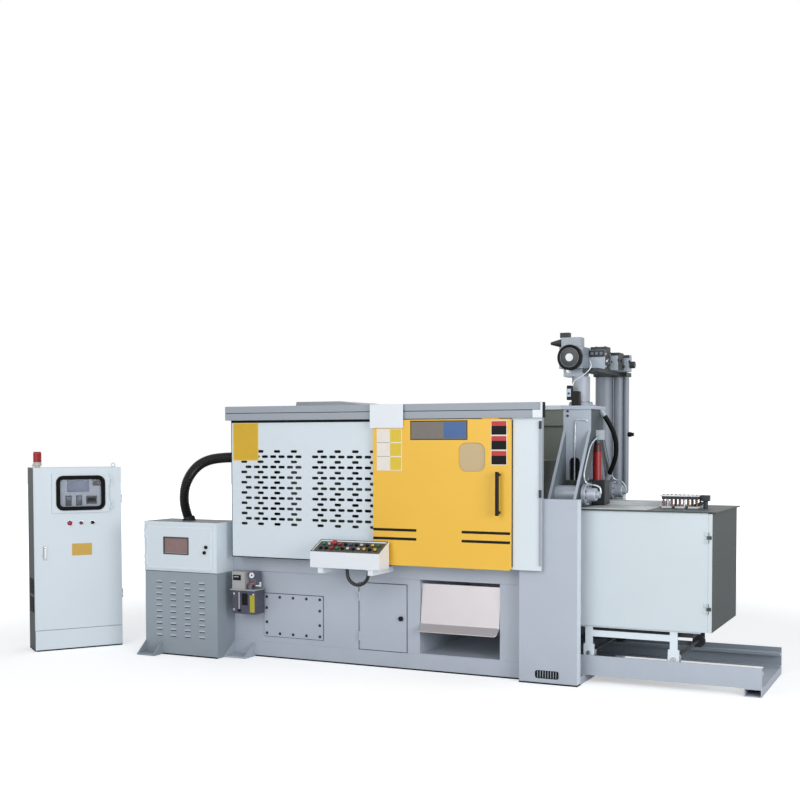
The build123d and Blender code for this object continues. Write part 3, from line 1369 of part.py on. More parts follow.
def make_injection_cylinder():
    x = post_left + SHOT_X
    z = TOWER_TOP + TOWER_CAP_THICK
    cylinder = bar("z", (x, 0, z), SHOT_FLANGE_RADIUS, SHOT_FLANGE_LENGTH)
    cylinder += bar("z", (x, 0, z + SHOT_FLANGE_LENGTH), SHOT_RADIUS, SHOT_LENGTH)
    z += SHOT_FLANGE_LENGTH + SHOT_LENGTH
    save("injection_cylinder", cylinder)
    head_left = x - HEAD_SETBACK
    half = HEAD_WIDTH / 2
    neck_x = (head_left + HEAD_LENGTH - NECK_LENGTH, head_left + HEAD_LENGTH)
    head = block(neck_x, (-NECK_WIDTH / 2, NECK_WIDTH / 2), (z, z + NECK_HEIGHT))
    z += NECK_HEIGHT
    head += block((head_left, head_left + HEAD_LENGTH), (-half, half), (z, z + HEAD_HEIGHT))
    disc_x = head_left + HEAD_LENGTH / 2
    disc_z = z + HEAD_HEIGHT / 2
    head += bar("y", (disc_x, -half - DISC_LENGTH, disc_z), DISC_RADIUS, DISC_LENGTH)
    hub = (disc_x, -half - DISC_LENGTH - DISC_HUB_LENGTH, disc_z)
    head += bar("y", hub, DISC_HUB_RADIUS, DISC_HUB_LENGTH)
    z += HEAD_HEIGHT
    pilot_x = (head_left, head_left + PILOT_LENGTH)
    pilot_half = PILOT_WIDTH / 2
    head += block(pilot_x, (-pilot_half, pilot_half), (z, z + PILOT_HEIGHT))
    nose = Pos(head_left, 0, z + PILOT_HEIGHT / 2) * Rot(0, -90, 0)
    low = (Align.CENTER, Align.CENTER, Align.MIN)
    head += nose * Cone(NOSE_RADIUS, NOSE_TIP_RADIUS, NOSE_LENGTH, align=low)
    cap_low = z + PILOT_HEIGHT
    cap_half = CAP_BLOCK_WIDTH / 2
    cap_left = head_left - CAP_BLOCK_OVERHANG
    cap_x = (cap_left, cap_left + CAP_BLOCK_LENGTH)
    head += block(cap_x, (-cap_half, cap_half), (cap_low, cap_low + CAP_BLOCK_HEIGHT))
    save("injection_head", head)


def make_manifold():
    x = post_left + SHOT_X - HEAD_SETBACK + HEAD_LENGTH
    right = x + MANIFOLD_LENGTH
    front = -HEAD_WIDTH / 2
    base = TOWER_TOP + TOWER_CAP_THICK + SHOT_FLANGE_LENGTH + SHOT_LENGTH + NECK_HEIGHT
    plate_z = (base - MANIFOLD_PLATE_THICK, base)
    manifold = block((x, right), (front, MANIFOLD_END), plate_z)
    beam_x = (post_left + BOTTLE_X - BOTTLE_RADIUS, post_left + RETURN_PIPE_X + RETURN_PIPE_RADIUS)
    manifold += block(beam_x, (MANIFOLD_END - END_BEAM_WIDTH, MANIFOLD_END), plate_z)
    for start, width, height, extra in (
        (FRONT_VALVE_START, FRONT_VALVE_WIDTH, FRONT_VALVE_HEIGHT, 0),
        (MIDDLE_VALVE_START, MIDDLE_VALVE_WIDTH, MIDDLE_VALVE_HEIGHT, MIDDLE_VALVE_EXTRA),
        (REAR_VALVE_START, REAR_VALVE_WIDTH, REAR_VALVE_HEIGHT, REAR_VALVE_EXTRA),
    ):
        y = front + start
        body_x = (x, right + extra)
        manifold += block(body_x, (y, y + width), (base, base + height))
        cap_y = (y + VALVE_CAP_INSET, y + width)
        manifold += block(body_x, cap_y, (base + height, base + height + VALVE_CAP_HEIGHT))
    dial_y = front + REAR_VALVE_START + REAR_VALVE_WIDTH / 2
    dial_z = base + REAR_VALVE_HEIGHT / 2
    manifold += bar("x", (right + REAR_VALVE_EXTRA, dial_y, dial_z), DIAL_RADIUS, DIAL_LENGTH)
    save("valve_manifold", manifold)


def make_bottles():
    y = (post_inner + post_outer) / 2
    top = TOWER_TOP + TOWER_CAP_THICK + SHOT_FLANGE_LENGTH + SHOT_LENGTH + NECK_HEIGHT - MANIFOLD_PLATE_THICK
    bottles = []
    for start, radius in (
        (BOTTLE_X, BOTTLE_RADIUS),
        (SLIM_BOTTLE_X, SLIM_BOTTLE_RADIUS),
        (RETURN_PIPE_X, RETURN_PIPE_RADIUS),
    ):
        bottles.append(bar("z", (post_left + start, y, POST_HEIGHT), radius, top - POST_HEIGHT))
    save("accumulators", *bottles)


def tower_hose_points():
    """The middle line of the hose beside the tower, from its upper boss to its lower one."""
    return [Vector(tower_right + dx, y, TOWER_TOP + dz) for dx, y, dz in TOWER_HOSE_POINTS]


def make_hose_bosses():
    """The two leaning bosses on the tower's right plate that the hose ends butt against."""
    points = tower_hose_points()
    low = (Align.CENTER, Align.CENTER, Align.MIN)
    bosses = []
    for end, corner in ((points[0], points[1]), (points[-1], points[-2])):
        lean = (corner - end).normalized()
        plane = Plane(origin=end - lean * TOWER_HOSE_BOSS_LENGTH, z_dir=lean)
        boss = plane * Cylinder(TOWER_HOSE_BOSS_RADIUS, TOWER_HOSE_BOSS_LENGTH, align=low)
        inside = block(
            (tower_right - 2 * TOWER_HOSE_BOSS_LENGTH, tower_right),
            (end.Y - TOWER_HOSE_BOSS_LENGTH, end.Y + TOWER_HOSE_BOSS_LENGTH),
            (end.Z - 2 * TOWER_HOSE_BOSS_LENGTH, end.Z + 2 * TOWER_HOSE_BOSS_LENGTH),
        )
        boss -= inside
        cap_x = (tower_right - OVERRUN, tower_right + TOWER_CAP_OVERHANG)
        boss_y = (end.Y - TOWER_HOSE_BOSS_LENGTH, end.Y + TOWER_HOSE_BOSS_LENGTH)
        bosses.append(boss - block(cap_x, boss_y, (TOWER_TOP, TOWER_TOP + TOWER_HOSE_BOSS_LENGTH)))
    save("hose_bosses", *bosses)


def make_tower_hose():
    save("tower_hose", tube_along(tower_hose_points(), TOWER_HOSE_RADIUS))


def make_gooseneck():
    left = post_left + GOOSE_START
    right = left + GOOSE_LENGTH
    bridge_high = BRIDGE_LOW + BRIDGE_THICK
    half = GOOSE_WIDTH / 2
    goose = block((left, right), (-half, half), (GOOSE_LOW, PLUNGER_LOW))
    flange = GOOSE_FLANGE_WIDTH / 2
    flange_z = (bridge_high, bridge_high + GOOSE_FLANGE_THICK)
    goose += block((left, tower_right), (-flange, flange), flange_z)
    save("gooseneck", goose)
    x = post_left + PLUNGER_X
    save("plunger_cover", bar("z", (x, 0, PLUNGER_LOW), PLUNGER_RADIUS, PLUNGER_HEIGHT))


def make_switch():
    front = -TOWER_APEX_WIDTH / 2 - TOWER_CAP_OVERHANG + SWITCH_INSET
    y = (front, front + SWITCH_BODY_DEPTH)
    low = TOWER_TOP + TOWER_CAP_THICK
    left = tower_left - TOWER_CAP_OVERHANG + SWITCH_START
    middle = left + SWITCH_SIDE_LENGTH
    side_low = low + SWITCH_SIDE_LOW
    body = block((middle, middle + SWITCH_BODY_LENGTH), y, (low, low + SWITCH_BODY_HEIGHT))
    body += block((left, middle), y, (side_low, side_low + SWITCH_SIDE_HEIGHT))
    save("position_switch", body)


make_bed()
make_bed_door()
make_access_cover()
make_chute()
make_posts()
make_clamp_unit()
make_guard_frame()
make_guard_panels()
make_rails()
make_roof()
make_sliding_door()
make_desk()
make_desk_hose()
make_power_cabinet()
make_power_hose()
make_lubricator()
make_control_cabinet()
make_furnace()
make_carriage()
make_furnace_rails()
make_injection_frame()
make_pull_cylinders()
make_injection_cylinder()
make_manifold()
make_bottles()
make_hose_bosses()
make_tower_hose()
make_gooseneck()
make_switch()
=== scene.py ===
import bmesh
import bpy
import json
import math
from bpy.props import FloatProperty, FloatVectorProperty, IntProperty, PointerProperty
from bpy.types import Operator, Panel, PropertyGroup
from mathutils import Matrix, Vector

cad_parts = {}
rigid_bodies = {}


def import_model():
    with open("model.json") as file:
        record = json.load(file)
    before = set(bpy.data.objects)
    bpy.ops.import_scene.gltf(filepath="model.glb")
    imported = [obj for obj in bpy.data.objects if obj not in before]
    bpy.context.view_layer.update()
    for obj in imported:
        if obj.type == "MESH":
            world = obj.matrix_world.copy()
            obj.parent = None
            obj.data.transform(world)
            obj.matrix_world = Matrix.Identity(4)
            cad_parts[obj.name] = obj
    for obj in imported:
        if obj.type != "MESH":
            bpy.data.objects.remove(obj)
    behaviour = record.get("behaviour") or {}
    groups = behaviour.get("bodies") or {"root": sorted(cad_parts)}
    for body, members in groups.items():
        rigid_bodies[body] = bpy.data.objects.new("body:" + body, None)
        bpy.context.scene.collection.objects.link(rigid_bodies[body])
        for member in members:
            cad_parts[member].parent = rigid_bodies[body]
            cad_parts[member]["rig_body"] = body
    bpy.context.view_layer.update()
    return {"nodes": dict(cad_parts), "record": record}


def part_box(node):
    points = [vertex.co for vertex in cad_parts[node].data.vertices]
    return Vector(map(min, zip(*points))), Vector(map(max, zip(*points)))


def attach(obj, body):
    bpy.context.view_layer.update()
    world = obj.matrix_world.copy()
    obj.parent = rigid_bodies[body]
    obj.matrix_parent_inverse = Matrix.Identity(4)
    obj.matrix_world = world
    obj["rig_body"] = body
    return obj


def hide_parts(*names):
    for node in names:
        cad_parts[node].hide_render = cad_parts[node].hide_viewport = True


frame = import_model()

FRONT, RIGHT, UP = (0, -1, 0), (1, 0, 0), (0, 0, 1)
BED_FRONT = -0.5
POST_FRONT = -0.58
GUARD_FRONT = -0.62
TANK_FRONT = -0.648
LOUVRE_BASE_FRONT = -0.7211
# Height of the black strips of painted contact shadow at the floor.
CONTACT_SHADOW_HEIGHT = 0.010
SOILED_HEIGHT = 0.35
VALVE_CAP = 0.024
CREASE = math.radians(32)

CAMERA_PLACE = (3.664, -7.779, 1.6)
CAMERA_DIP = math.radians(2.219)
CAMERA_TURN = math.radians(24.169)
CAMERA_SHIFT = (-0.064, 0.110)

bl_info = {
    "name": "Die casting machine",
    "version": (1, 0, 0),
    "blender": (4, 5, 0),
    "location": "View3D > Sidebar > Die caster",
    "description": "Dresses the packed die casting machine with finishes and small parts",
    "category": "Object",
}


def tint(label, words, red, green, blue):
    """A colour the user can change, written as it shows on screen."""
    return FloatVectorProperty(
        name=label,
        description=words,
        subtype="COLOR_GAMMA",
        min=0.0,
        max=1.0,
        default=(red / 255, green / 255, blue / 255),
    )


class CasterSizes(PropertyGroup):
    edge: FloatProperty(
        name="Edge", description="Rounding of sheet metal edges", default=0.0025, unit="LENGTH"
    )
    rib: FloatProperty(
        name="Hose rib", description="Distance between ribs of the cable hose", default=0.014, unit="LENGTH"
    )
    rib_depth: FloatProperty(
        name="Rib depth", description="Depth between two ribs of the hose", default=0.005, unit="LENGTH"
    )
    sides: IntProperty(
        name="Round sides", description="Faces round a turned part", default=40, min=12, max=96
    )


class CasterColours(PropertyGroup):
    bed: tint("Bed", "Blue-grey machine paint", 180, 188, 200)
    power: tint("Power base", "Darker grey of the louvred base", 152, 162, 171)
    guard: tint("Guard", "White guard sheet", 217, 227, 234)
    cabinet: tint("Cabinet", "Pale grey of the cabinets", 219, 229, 236)
    door: tint("Door", "Yellow sliding door", 240, 190, 66)
    rail: tint("Rail", "Grey top rail", 158, 165, 174)
    # Painted shade: this grey-green is darkened to the tone the inner sheets show in shade.
    inside: tint("Inside", "Grey-green inner side of the guard", 120, 126, 118)
    furnace: tint("Furnace", "Pale furnace sheet", 203, 213, 219)
    # Dark green-grey of the dark sheets, also used as painted shade on shaded sides.
    dark: tint("Dark sheet", "Dark green-grey sheet", 57, 64, 64)
    black: tint("Black", "Black parts", 14, 15, 17)
    red: tint("Red", "Red parts", 158, 30, 34)


class CasterStudio(PropertyGroup):
    lens: FloatProperty(name="Lens", description="Camera lens in millimetres", default=51.95)
    key: FloatProperty(name="Key light", description="Power of the front light in watts", default=235.0)
    side: FloatProperty(name="Side light", description="Power of the right light in watts", default=235.0)
    sky: FloatProperty(name="Sky", description="Strength of the light from all round", default=0.475)


def sizes():
    return bpy.context.scene.caster_sizes


def colours():
    return bpy.context.scene.caster_colours


def linear(colour, scale=1.0):
    """A screen colour as the shader's linear values."""
    curve = [c / 12.92 if c <= 0.04045 else ((c + 0.055) / 1.055) ** 2.4 for c in colour]
    return [min(1.0, c * scale) for c in curve] + [1.0]


def add(tree, kind, **values):
    """A shader node with its plain settings and input values."""
    node = tree.nodes.new(kind)
    for key, value in values.items():
        if hasattr(node, key):
            setattr(node, key, value)
        else:
            node.inputs[key.replace("_", " ").title()].default_value = value
    return node


def ramp(tree, source, start, end, first, last):
    """A value that goes from first to last while the source goes from start to end."""
    node = tree.nodes.new("ShaderNodeMapRange")
    for key, value in (("From Min", start), ("From Max", end), ("To Min", first), ("To Max", last)):
        node.inputs[key].default_value = value
    tree.links.new(source, node.inputs["Value"])
    return node.outputs["Result"]


def blend(tree, share, first, second):
    """A mix of two colours, each a list of values or the output of a node."""
    node = tree.nodes.new("ShaderNodeMix")
    node.data_type = "RGBA"
    tree.links.new(share, node.inputs[0])
    for socket, colour in zip(node.inputs[6:8], (first, second)):
        if isinstance(colour, list):
            socket.default_value = colour
        else:
            tree.links.new(colour, socket)
    return node.outputs[2]


def soiled(tree, place, shade, colour, most):
    """The shade with uneven grime that thins out above the floor."""
    height = add(tree, "ShaderNodeSeparateXYZ")
    tree.links.new(place, height.inputs[0])
    dust = add(tree, "ShaderNodeTexNoise", Scale=7.0, Detail=6.0)
    tree.links.new(place, dust.inputs["Vector"])
    amount = add(tree, "ShaderNodeMath", operation="MULTIPLY")
    tree.links.new(ramp(tree, height.outputs["Z"], 0.0, SOILED_HEIGHT, most, 0.0), amount.inputs[0])
    tree.links.new(dust.outputs["Fac"], amount.inputs[1])
    return blend(tree, amount.outputs[0], shade, linear(colour, 0.35))


def finish(name, colour, roughness, metallic=0.0, patches=0.07, patch=0.5, grain=90.0,
           stretch=(1, 1, 1), bump=0.12, spread=0.07, soil=0.0, gloss=0.5, **fixed):
    """A painted, cast or machined surface with broad tone changes and a fine grain."""
    material = bpy.data.materials.get(name)
    if material:
        return material
    material = bpy.data.materials.new(name)
    material.use_nodes = True
    tree = material.node_tree
    link = tree.links.new
    shader = tree.nodes["Principled BSDF"]
    place = add(tree, "ShaderNodeTexCoord").outputs["Object"]
    broad = add(tree, "ShaderNodeTexNoise", Scale=1 / patch, Detail=5.0, Roughness=0.55)
    link(place, broad.inputs["Vector"])
    shade = blend(tree, broad.outputs["Fac"], linear(colour, 1 - patches), linear(colour, 1 + patches))
    if soil:
        shade = soiled(tree, place, shade, colour, soil)
    link(shade, shader.inputs["Base Color"])
    turn = add(tree, "ShaderNodeMapping")
    turn.inputs["Scale"].default_value = stretch
    link(place, turn.inputs["Vector"])
    fine = add(tree, "ShaderNodeTexNoise", Scale=grain, Detail=3.0)
    link(turn.outputs["Vector"], fine.inputs["Vector"])
    rough = ramp(tree, fine.outputs["Fac"], 0.0, 1.0,
                 max(0.0, roughness - spread), min(1.0, roughness + spread))
    link(rough, shader.inputs["Roughness"])
    relief = add(tree, "ShaderNodeBump", Strength=bump, Distance=0.002)
    link(fine.outputs["Fac"], relief.inputs["Height"])
    link(relief.outputs["Normal"], shader.inputs["Normal"])
    shader.inputs["Metallic"].default_value = metallic
    shader.inputs["Specular IOR Level"].default_value = gloss
    for key, value in fixed.items():
        shader.inputs[key.replace("_", " ").title()].default_value = value
    return material


def bed_paint():
    return finish("bed paint", colours().bed, 0.5, soil=0.25)


def power_paint():
    return finish("power base paint", colours().power, 0.5, soil=0.3)


def guard_paint():
    return finish("guard paint", colours().guard, 0.42, patches=0.035, patch=0.9)


def cabinet_paint():
    return finish("cabinet paint", colours().cabinet, 0.42, patches=0.04, patch=0.7)


def door_paint():
    return finish("door paint", colours().door, 0.34, patches=0.05, patch=0.8)


def rail_paint():
    return finish("rail paint", colours().rail, 0.45, patches=0.06)


def furnace_paint():
    return finish("furnace paint", colours().furnace, 0.46, patches=0.06, patch=0.6)


# Dark green-grey sheet paint, also used as painted shade on shaded sides.
def dark_paint():
    return finish("dark sheet paint and painted shade", colours().dark, 0.5, patches=0.14, patch=0.4)


# Grey-green inside colour darkened as painted shade.
def shaded_inside_paint():
    return finish("guard inside painted shade", colours().inside, 0.6, patches=0.12, patch=0.5)


# Black paint for black parts, also used as painted shade in slots, gaps and under things.
def black_paint():
    return finish("black paint and painted shade", colours().black, 0.6, patches=0.3, patch=0.2, gloss=0.2)


def white_paint():
    return finish("white paint", (0.90, 0.92, 0.94), 0.4, patches=0.03)


def red_paint():
    return finish("red paint", colours().red, 0.36, patches=0.12, patch=0.2)


def black_plastic():
    return finish("black plastic", (0.07, 0.07, 0.075), 0.42, patches=0.2, patch=0.1, grain=400.0,
                  gloss=0.2)


def machined_steel():
    return finish("machined steel", (0.72, 0.73, 0.75), 0.32, 0.9, patches=0.12, patch=0.15,
                  grain=260.0, spread=0.1)


def cast_iron():
    return finish("cast iron", (0.66, 0.70, 0.74), 0.5, 0.2, patches=0.16, patch=0.12, grain=180.0,
                  bump=0.3)


# Dark iron for dark metal parts, also used as painted shade on shaded and far sides.
def dark_iron():
    return finish("dark iron and painted shade", (0.2, 0.22, 0.23), 0.5, 0.35, patches=0.35, patch=0.1, grain=150.0,
                  bump=0.3)


def chrome():
    return finish("chrome", (0.83, 0.84, 0.86), 0.14, 1.0, patches=0.05, patch=0.3, spread=0.05)


def copper():
    return finish("copper", (0.50, 0.36, 0.30), 0.4, 0.6, patches=0.25, patch=0.03, spread=0.1)


def valve_grey():
    return finish("valve ends", (0.42, 0.45, 0.49), 0.5, patches=0.2, patch=0.05)


def stainless():
    return finish("stainless sheet", (0.80, 0.78, 0.79), 0.34, 0.5, patches=0.08, patch=0.5,
                  stretch=(1, 18, 18), grain=35.0, bump=0.06, spread=0.08)


def coloured_plastic(name, red, green, blue, roughness=0.3):
    return finish(name, (red / 255, green / 255, blue / 255), roughness, patches=0.06, patch=0.05,
                  grain=300.0, bump=0.04)


def clear_glass(name, red, green, blue, alpha, roughness=0.06):
    """A pane that lets some of what lies behind it show."""
    return finish(name, (red / 255, green / 255, blue / 255), roughness, patches=0.05, patch=0.3,
                  bump=0.02, spread=0.03, Alpha=alpha)


def soften(bm, edges, width, segments=2):
    """Rounds the edges, unless the width is nought."""
    if width:
        bmesh.ops.bevel(
            bm, geom=edges, offset=width, offset_type="OFFSET", segments=segments,
            profile=0.5, affect="EDGES", material=-1, clamp_overlap=True,
        )


def finished(bm, name, materials):
    """The mesh of a bmesh that is done with."""
    mesh = bpy.data.meshes.new(name)
    bm.to_mesh(mesh)
    bm.free()
    for material in materials:
        mesh.materials.append(material)
    return mesh


def once(items):
    """The items in the order in which they come, each of them once."""
    return list(dict.fromkeys(items))


class Shape:
    """A piece in the making. Solids are added one by one, each with its own finish."""

    def __init__(self, place=None):
        self.bm = bmesh.new()
        self.done = self.bm.faces.layers.int.new("done")
        self.place = place or Matrix()
        self.finishes = []

    def fresh(self):
        """The faces of the newest solid."""
        return [face for face in self.bm.faces if not face[self.done]]

    def keep(self, material):
        """Gives the newest solid its finish."""
        if material not in self.finishes:
            self.finishes.append(material)
        index = self.finishes.index(material)
        for face in self.fresh():
            face[self.done] = 1
            face.material_index = index

    def slab(self, low, high, material, edge=None, turn=None, segments=2):
        """A block with softened edges between two corners."""
        low, high = Vector(low), Vector(high)
        matrix = self.place @ Matrix.Translation((low + high) / 2) @ (turn or Matrix())
        matrix = matrix @ Matrix.Diagonal((*(high - low), 1))
        made = bmesh.ops.create_cube(self.bm, size=1, matrix=matrix)
        edges = once(edge for vert in made["verts"] for edge in vert.link_edges)
        soften(self.bm, edges, sizes().edge / 2 if edge is None else edge, segments)
        self.keep(material)

    def rod(self, start, end, radius, material, tip=None, edge=0.0, sides=None):
        """A round bar, or a cone where the tip has a radius of its own."""
        start, end = Vector(start), Vector(end)
        turn = (end - start).to_track_quat("Z", "Y").to_matrix().to_4x4()
        matrix = self.place @ Matrix.Translation((start + end) / 2) @ turn
        sides = sides or sizes().sides
        made = bmesh.ops.create_cone(
            self.bm, cap_ends=True, cap_tris=False, segments=sides, radius1=radius,
            radius2=radius if tip is None else tip, depth=(end - start).length, matrix=matrix,
        )
        rims = once(
            rim for vert in made["verts"] for rim in vert.link_edges
            if any(len(face.verts) == sides for face in rim.link_faces)
        )
        soften(self.bm, rims, edge)
        self.keep(material)

    def turned(self, profile, start, axis, material, steps=None):
        """A shape spun from its half outline of radius and distance along the axis."""
        verts = [self.bm.verts.new((radius, 0, along)) for radius, along in profile]
        edges = [self.bm.edges.new(pair) for pair in zip(verts, verts[1:])]
        bmesh.ops.spin(
            self.bm, geom=verts + edges, cent=(0, 0, 0), axis=(0, 0, 1), angle=math.tau,
            steps=steps or sizes().sides, use_merge=True,
        )
        points = once(vert for face in self.fresh() for vert in face.verts)
        turn = Vector(axis).to_track_quat("Z", "Y").to_matrix().to_4x4()
        matrix = self.place @ Matrix.Translation(Vector(start)) @ turn
        bmesh.ops.transform(self.bm, matrix=matrix, verts=points)
        bmesh.ops.remove_doubles(self.bm, verts=points, dist=1e-6)
        bmesh.ops.recalc_face_normals(self.bm, faces=self.fresh())
        self.keep(material)

    def bolt(self, centre, axis, radius, material, washer=True):
        """A six-sided bolt head on a washer."""
        centre, axis = Vector(centre), Vector(axis).normalized()
        if washer:
            self.rod(centre, centre + axis * radius * 0.2, radius * 1.35, material, sides=20)
        self.rod(centre, centre + axis * radius * 0.85, radius, material, edge=radius * 0.12, sides=6)

    def bolt_ring(self, centre, axis, reach, radius, material, count=8):
        """Bolt heads in a ring round a centre, facing along x or z."""
        for index in range(count):
            angle = math.tau * (index + 0.5) / count
            across, aside = reach * math.cos(angle), reach * math.sin(angle)
            offset = (0, across, aside) if axis == RIGHT else (across, aside, 0)
            self.bolt(Vector(centre) + Vector(offset), axis, radius, material, washer=False)

    def hoop(self, low, high, corner, width, material):
        """A flat frame with rounded corners, thin along y."""
        low, high = Vector(low), Vector(high)
        matrix = Matrix.Translation((low + high) / 2) @ Matrix.Diagonal((*(high - low), 1))
        made = bmesh.ops.create_cube(self.bm, size=1, matrix=matrix)
        sides = once(side for vert in made["verts"] for side in vert.link_edges)
        upright = [
            side for side in sides
            if abs((side.verts[0].co - side.verts[1].co).normalized().y) > 0.9
        ]
        soften(self.bm, upright, corner, 6)
        flats = [face for face in self.fresh() if abs(face.normal.y) > 0.9]
        bmesh.ops.inset_individual(self.bm, faces=flats, thickness=width, depth=0)
        rims = once(rim for face in flats for rim in face.edges)
        bmesh.ops.delete(self.bm, geom=flats, context="FACES_ONLY")
        bmesh.ops.bridge_loops(self.bm, edges=rims)
        bmesh.ops.recalc_face_normals(self.bm, faces=self.fresh())
        points = once(vert for face in self.fresh() for vert in face.verts)
        bmesh.ops.transform(self.bm, matrix=self.place, verts=points)
        self.keep(material)

    def make(self, name, body, *nodes, slot=None):
        """Turns the solids into one object that rides on a body and may stand for CAD nodes."""
        self.bm.faces.layers.int.remove(self.done)
        mesh = finished(self.bm, name, self.finishes)
        return settle(bpy.data.objects.new(name, mesh), body, *nodes, slot=slot)


def settle(piece, body, *nodes, slot=None):
    """Links a piece, smooths its round faces and lets it ride."""
    bpy.context.scene.collection.objects.link(piece)
    if piece.type == "MESH":
        piece.data.shade_smooth()
        piece.data.set_sharp_from_angle(angle=CREASE)
        even = piece.modifiers.new("even_faces", "WEIGHTED_NORMAL")
        even.keep_sharp = True
    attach(piece, body)
    if nodes:
        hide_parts(*nodes)
        slot = slot or next(
            part["material_slot"] for part in frame["record"]["subparts"] if part["node"] == nodes[0]
        )
    return piece


def dress(node, material, width=None):
    """A copy of a CAD node with merged faces and softened edges, in place of the node."""
    source = frame["nodes"][node]
    bm = bmesh.new()
    bm.from_mesh(source.data)
    bmesh.ops.remove_doubles(bm, verts=bm.verts, dist=1e-5)
    bmesh.ops.dissolve_limit(
        bm, angle_limit=math.radians(0.5), use_dissolve_boundaries=False,
        verts=bm.verts, edges=bm.edges,
    )
    sharp = [
        edge for edge in bm.edges
        if len(edge.link_faces) == 2 and edge.calc_face_angle(0) > CREASE
    ]
    soften(bm, sharp, sizes().edge if width is None else width)
    name = node + "_shape"
    piece = bpy.data.objects.new(name, finished(bm, name, [material]))
    return settle(piece, source["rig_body"], node)


def recolour(piece, material, wanted):
    """Gives another finish to the faces whose middle and normal are wanted."""
    piece.data.materials.append(material)
    index = len(piece.data.materials) - 1
    for face in piece.data.polygons:
        if wanted(face.center, face.normal):
            face.material_index = index


def curve(name, points, radius=0.0):
    """A smooth curve with the points as its controls."""
    data = bpy.data.curves.new(name, "CURVE")
    data.dimensions = "3D"
    data.resolution_u = 16
    data.bevel_depth = radius
    data.bevel_resolution = 5
    data.use_fill_caps = radius > 0
    spline = data.splines.new("NURBS")
    spline.points.add(len(points) - 1)
    for point, place in zip(spline.points, points):
        point.co = (*place, 1)
    spline.order_u = 3
    spline.use_endpoint_u = True
    return bpy.data.objects.new(name, data)


def pipe(name, points, radius, material, body):
    """A bent metal pipe."""
    piece = curve(name, points, radius)
    piece.data.materials.append(material)
    return settle(piece, body)


def cabinet_place():
    """The control cabinet's own frame, x along its front and z up."""
    return Matrix.Translation((-2.844, -1.056, 0)) @ Matrix.Rotation(math.radians(53.8), 4, "Z")


def valve_top(y):
    """Height of the valve block at this place along the manifold, without its cap."""
    if y < 0.197:
        return 2.255
    return 2.222 if y < 0.36 else 2.216


class CASTER_OT_stage(Operator):
    """Sets up the floor, the white surroundings, the lights and the camera"""

    bl_idname = "caster.stage"
    bl_label = "Stage"

    def execute(self, context):
        studio = context.scene.caster_studio
        bpy.ops.mesh.primitive_plane_add(size=60)
        floor = context.object
        floor.name = "floor"
        floor.data.materials.append(self.floor_finish())
        self.surroundings(studio.sky)
        self.lamp("front_light", (-1.0, -9.0, 4.2), (0.0, 0, 0.7), 6.0, studio.key)
        self.lamp("side_light", (7.0, -4.2, 2.4), (0.8, 0, 0.8), 4.0, studio.side)
        self.camera(studio.lens)
        context.scene.view_settings.view_transform = "Standard"
        return {"FINISHED"}

    def surroundings(self, sky):
        """Soft light from all round, seen as white by the camera, in gloss and through glass."""
        world = bpy.data.worlds.new("white studio")
        bpy.context.scene.world = world
        world.use_nodes = True
        tree = world.node_tree
        tree.nodes.clear()
        paths = add(tree, "ShaderNodeLightPath")
        lit = add(tree, "ShaderNodeBackground", Strength=sky)
        seen = add(tree, "ShaderNodeBackground", Strength=1.0)
        lit.inputs["Color"].default_value = (0.93, 0.96, 1.0, 1)
        seen.inputs["Color"].default_value = (1, 1, 1, 1)
        both = add(tree, "ShaderNodeMixShader")
        out = add(tree, "ShaderNodeOutputWorld")
        through = add(tree, "ShaderNodeMath", operation="MAXIMUM")
        white = add(tree, "ShaderNodeMath", operation="MAXIMUM")
        for source, socket in (
            (paths.outputs["Is Glossy Ray"], through.inputs[0]),
            (paths.outputs["Is Transmission Ray"], through.inputs[1]),
            (paths.outputs["Is Camera Ray"], white.inputs[0]),
            (through.outputs[0], white.inputs[1]),
            (white.outputs[0], both.inputs[0]),
            (lit.outputs[0], both.inputs[1]),
            (seen.outputs[0], both.inputs[2]),
            (both.outputs[0], out.inputs[0]),
        ):
            tree.links.new(source, socket)

    def camera(self, lens):
        """The camera at the photo's eye height, direction and framing."""
        camera = bpy.data.cameras.new("photo_camera")
        camera.sensor_fit = "HORIZONTAL"
        camera.sensor_width = 36
        camera.lens = lens
        camera.shift_x, camera.shift_y = CAMERA_SHIFT
        seat = bpy.data.objects.new("photo_camera", camera)
        seat.location = CAMERA_PLACE
        seat.rotation_euler = (math.radians(90) - CAMERA_DIP, 0, CAMERA_TURN)
        bpy.context.scene.collection.objects.link(seat)
        bpy.context.scene.camera = seat

    def floor_finish(self):
        """Pale floor that shows white to the camera and keeps the machine's shadow."""
        material = finish("pale floor", (0.93, 0.93, 0.93), 0.9, patches=0.01, patch=2.0, bump=0.0)
        tree = material.node_tree
        paths = add(tree, "ShaderNodeLightPath")
        place = add(tree, "ShaderNodeTexCoord")
        far = add(tree, "ShaderNodeVectorMath", operation="LENGTH")
        tree.links.new(place.outputs["Object"], far.inputs[0])
        fade = ramp(tree, far.outputs["Value"], 3.5, 8.0, 0.42, 1.0)
        glow = add(tree, "ShaderNodeMath", operation="MULTIPLY")
        tree.links.new(fade, glow.inputs[1])
        tree.links.new(paths.outputs["Is Camera Ray"], glow.inputs[0])
        shader = tree.nodes["Principled BSDF"]
        shader.inputs["Emission Color"].default_value = (1, 1, 1, 1)
        tree.links.new(glow.outputs[0], shader.inputs["Emission Strength"])
        return material

    def lamp(self, name, place, target, width, power):
        """A round area light that looks at its target."""
        light = bpy.data.lights.new(name, "AREA")
        light.shape = "DISK"
        light.size = width
        light.energy = power
        lamp = bpy.data.objects.new(name, light)
        lamp.location = place
        aim = Vector(target) - Vector(place)
        lamp.rotation_euler = aim.to_track_quat("-Z", "Y").to_euler()
        bpy.context.scene.collection.objects.link(lamp)


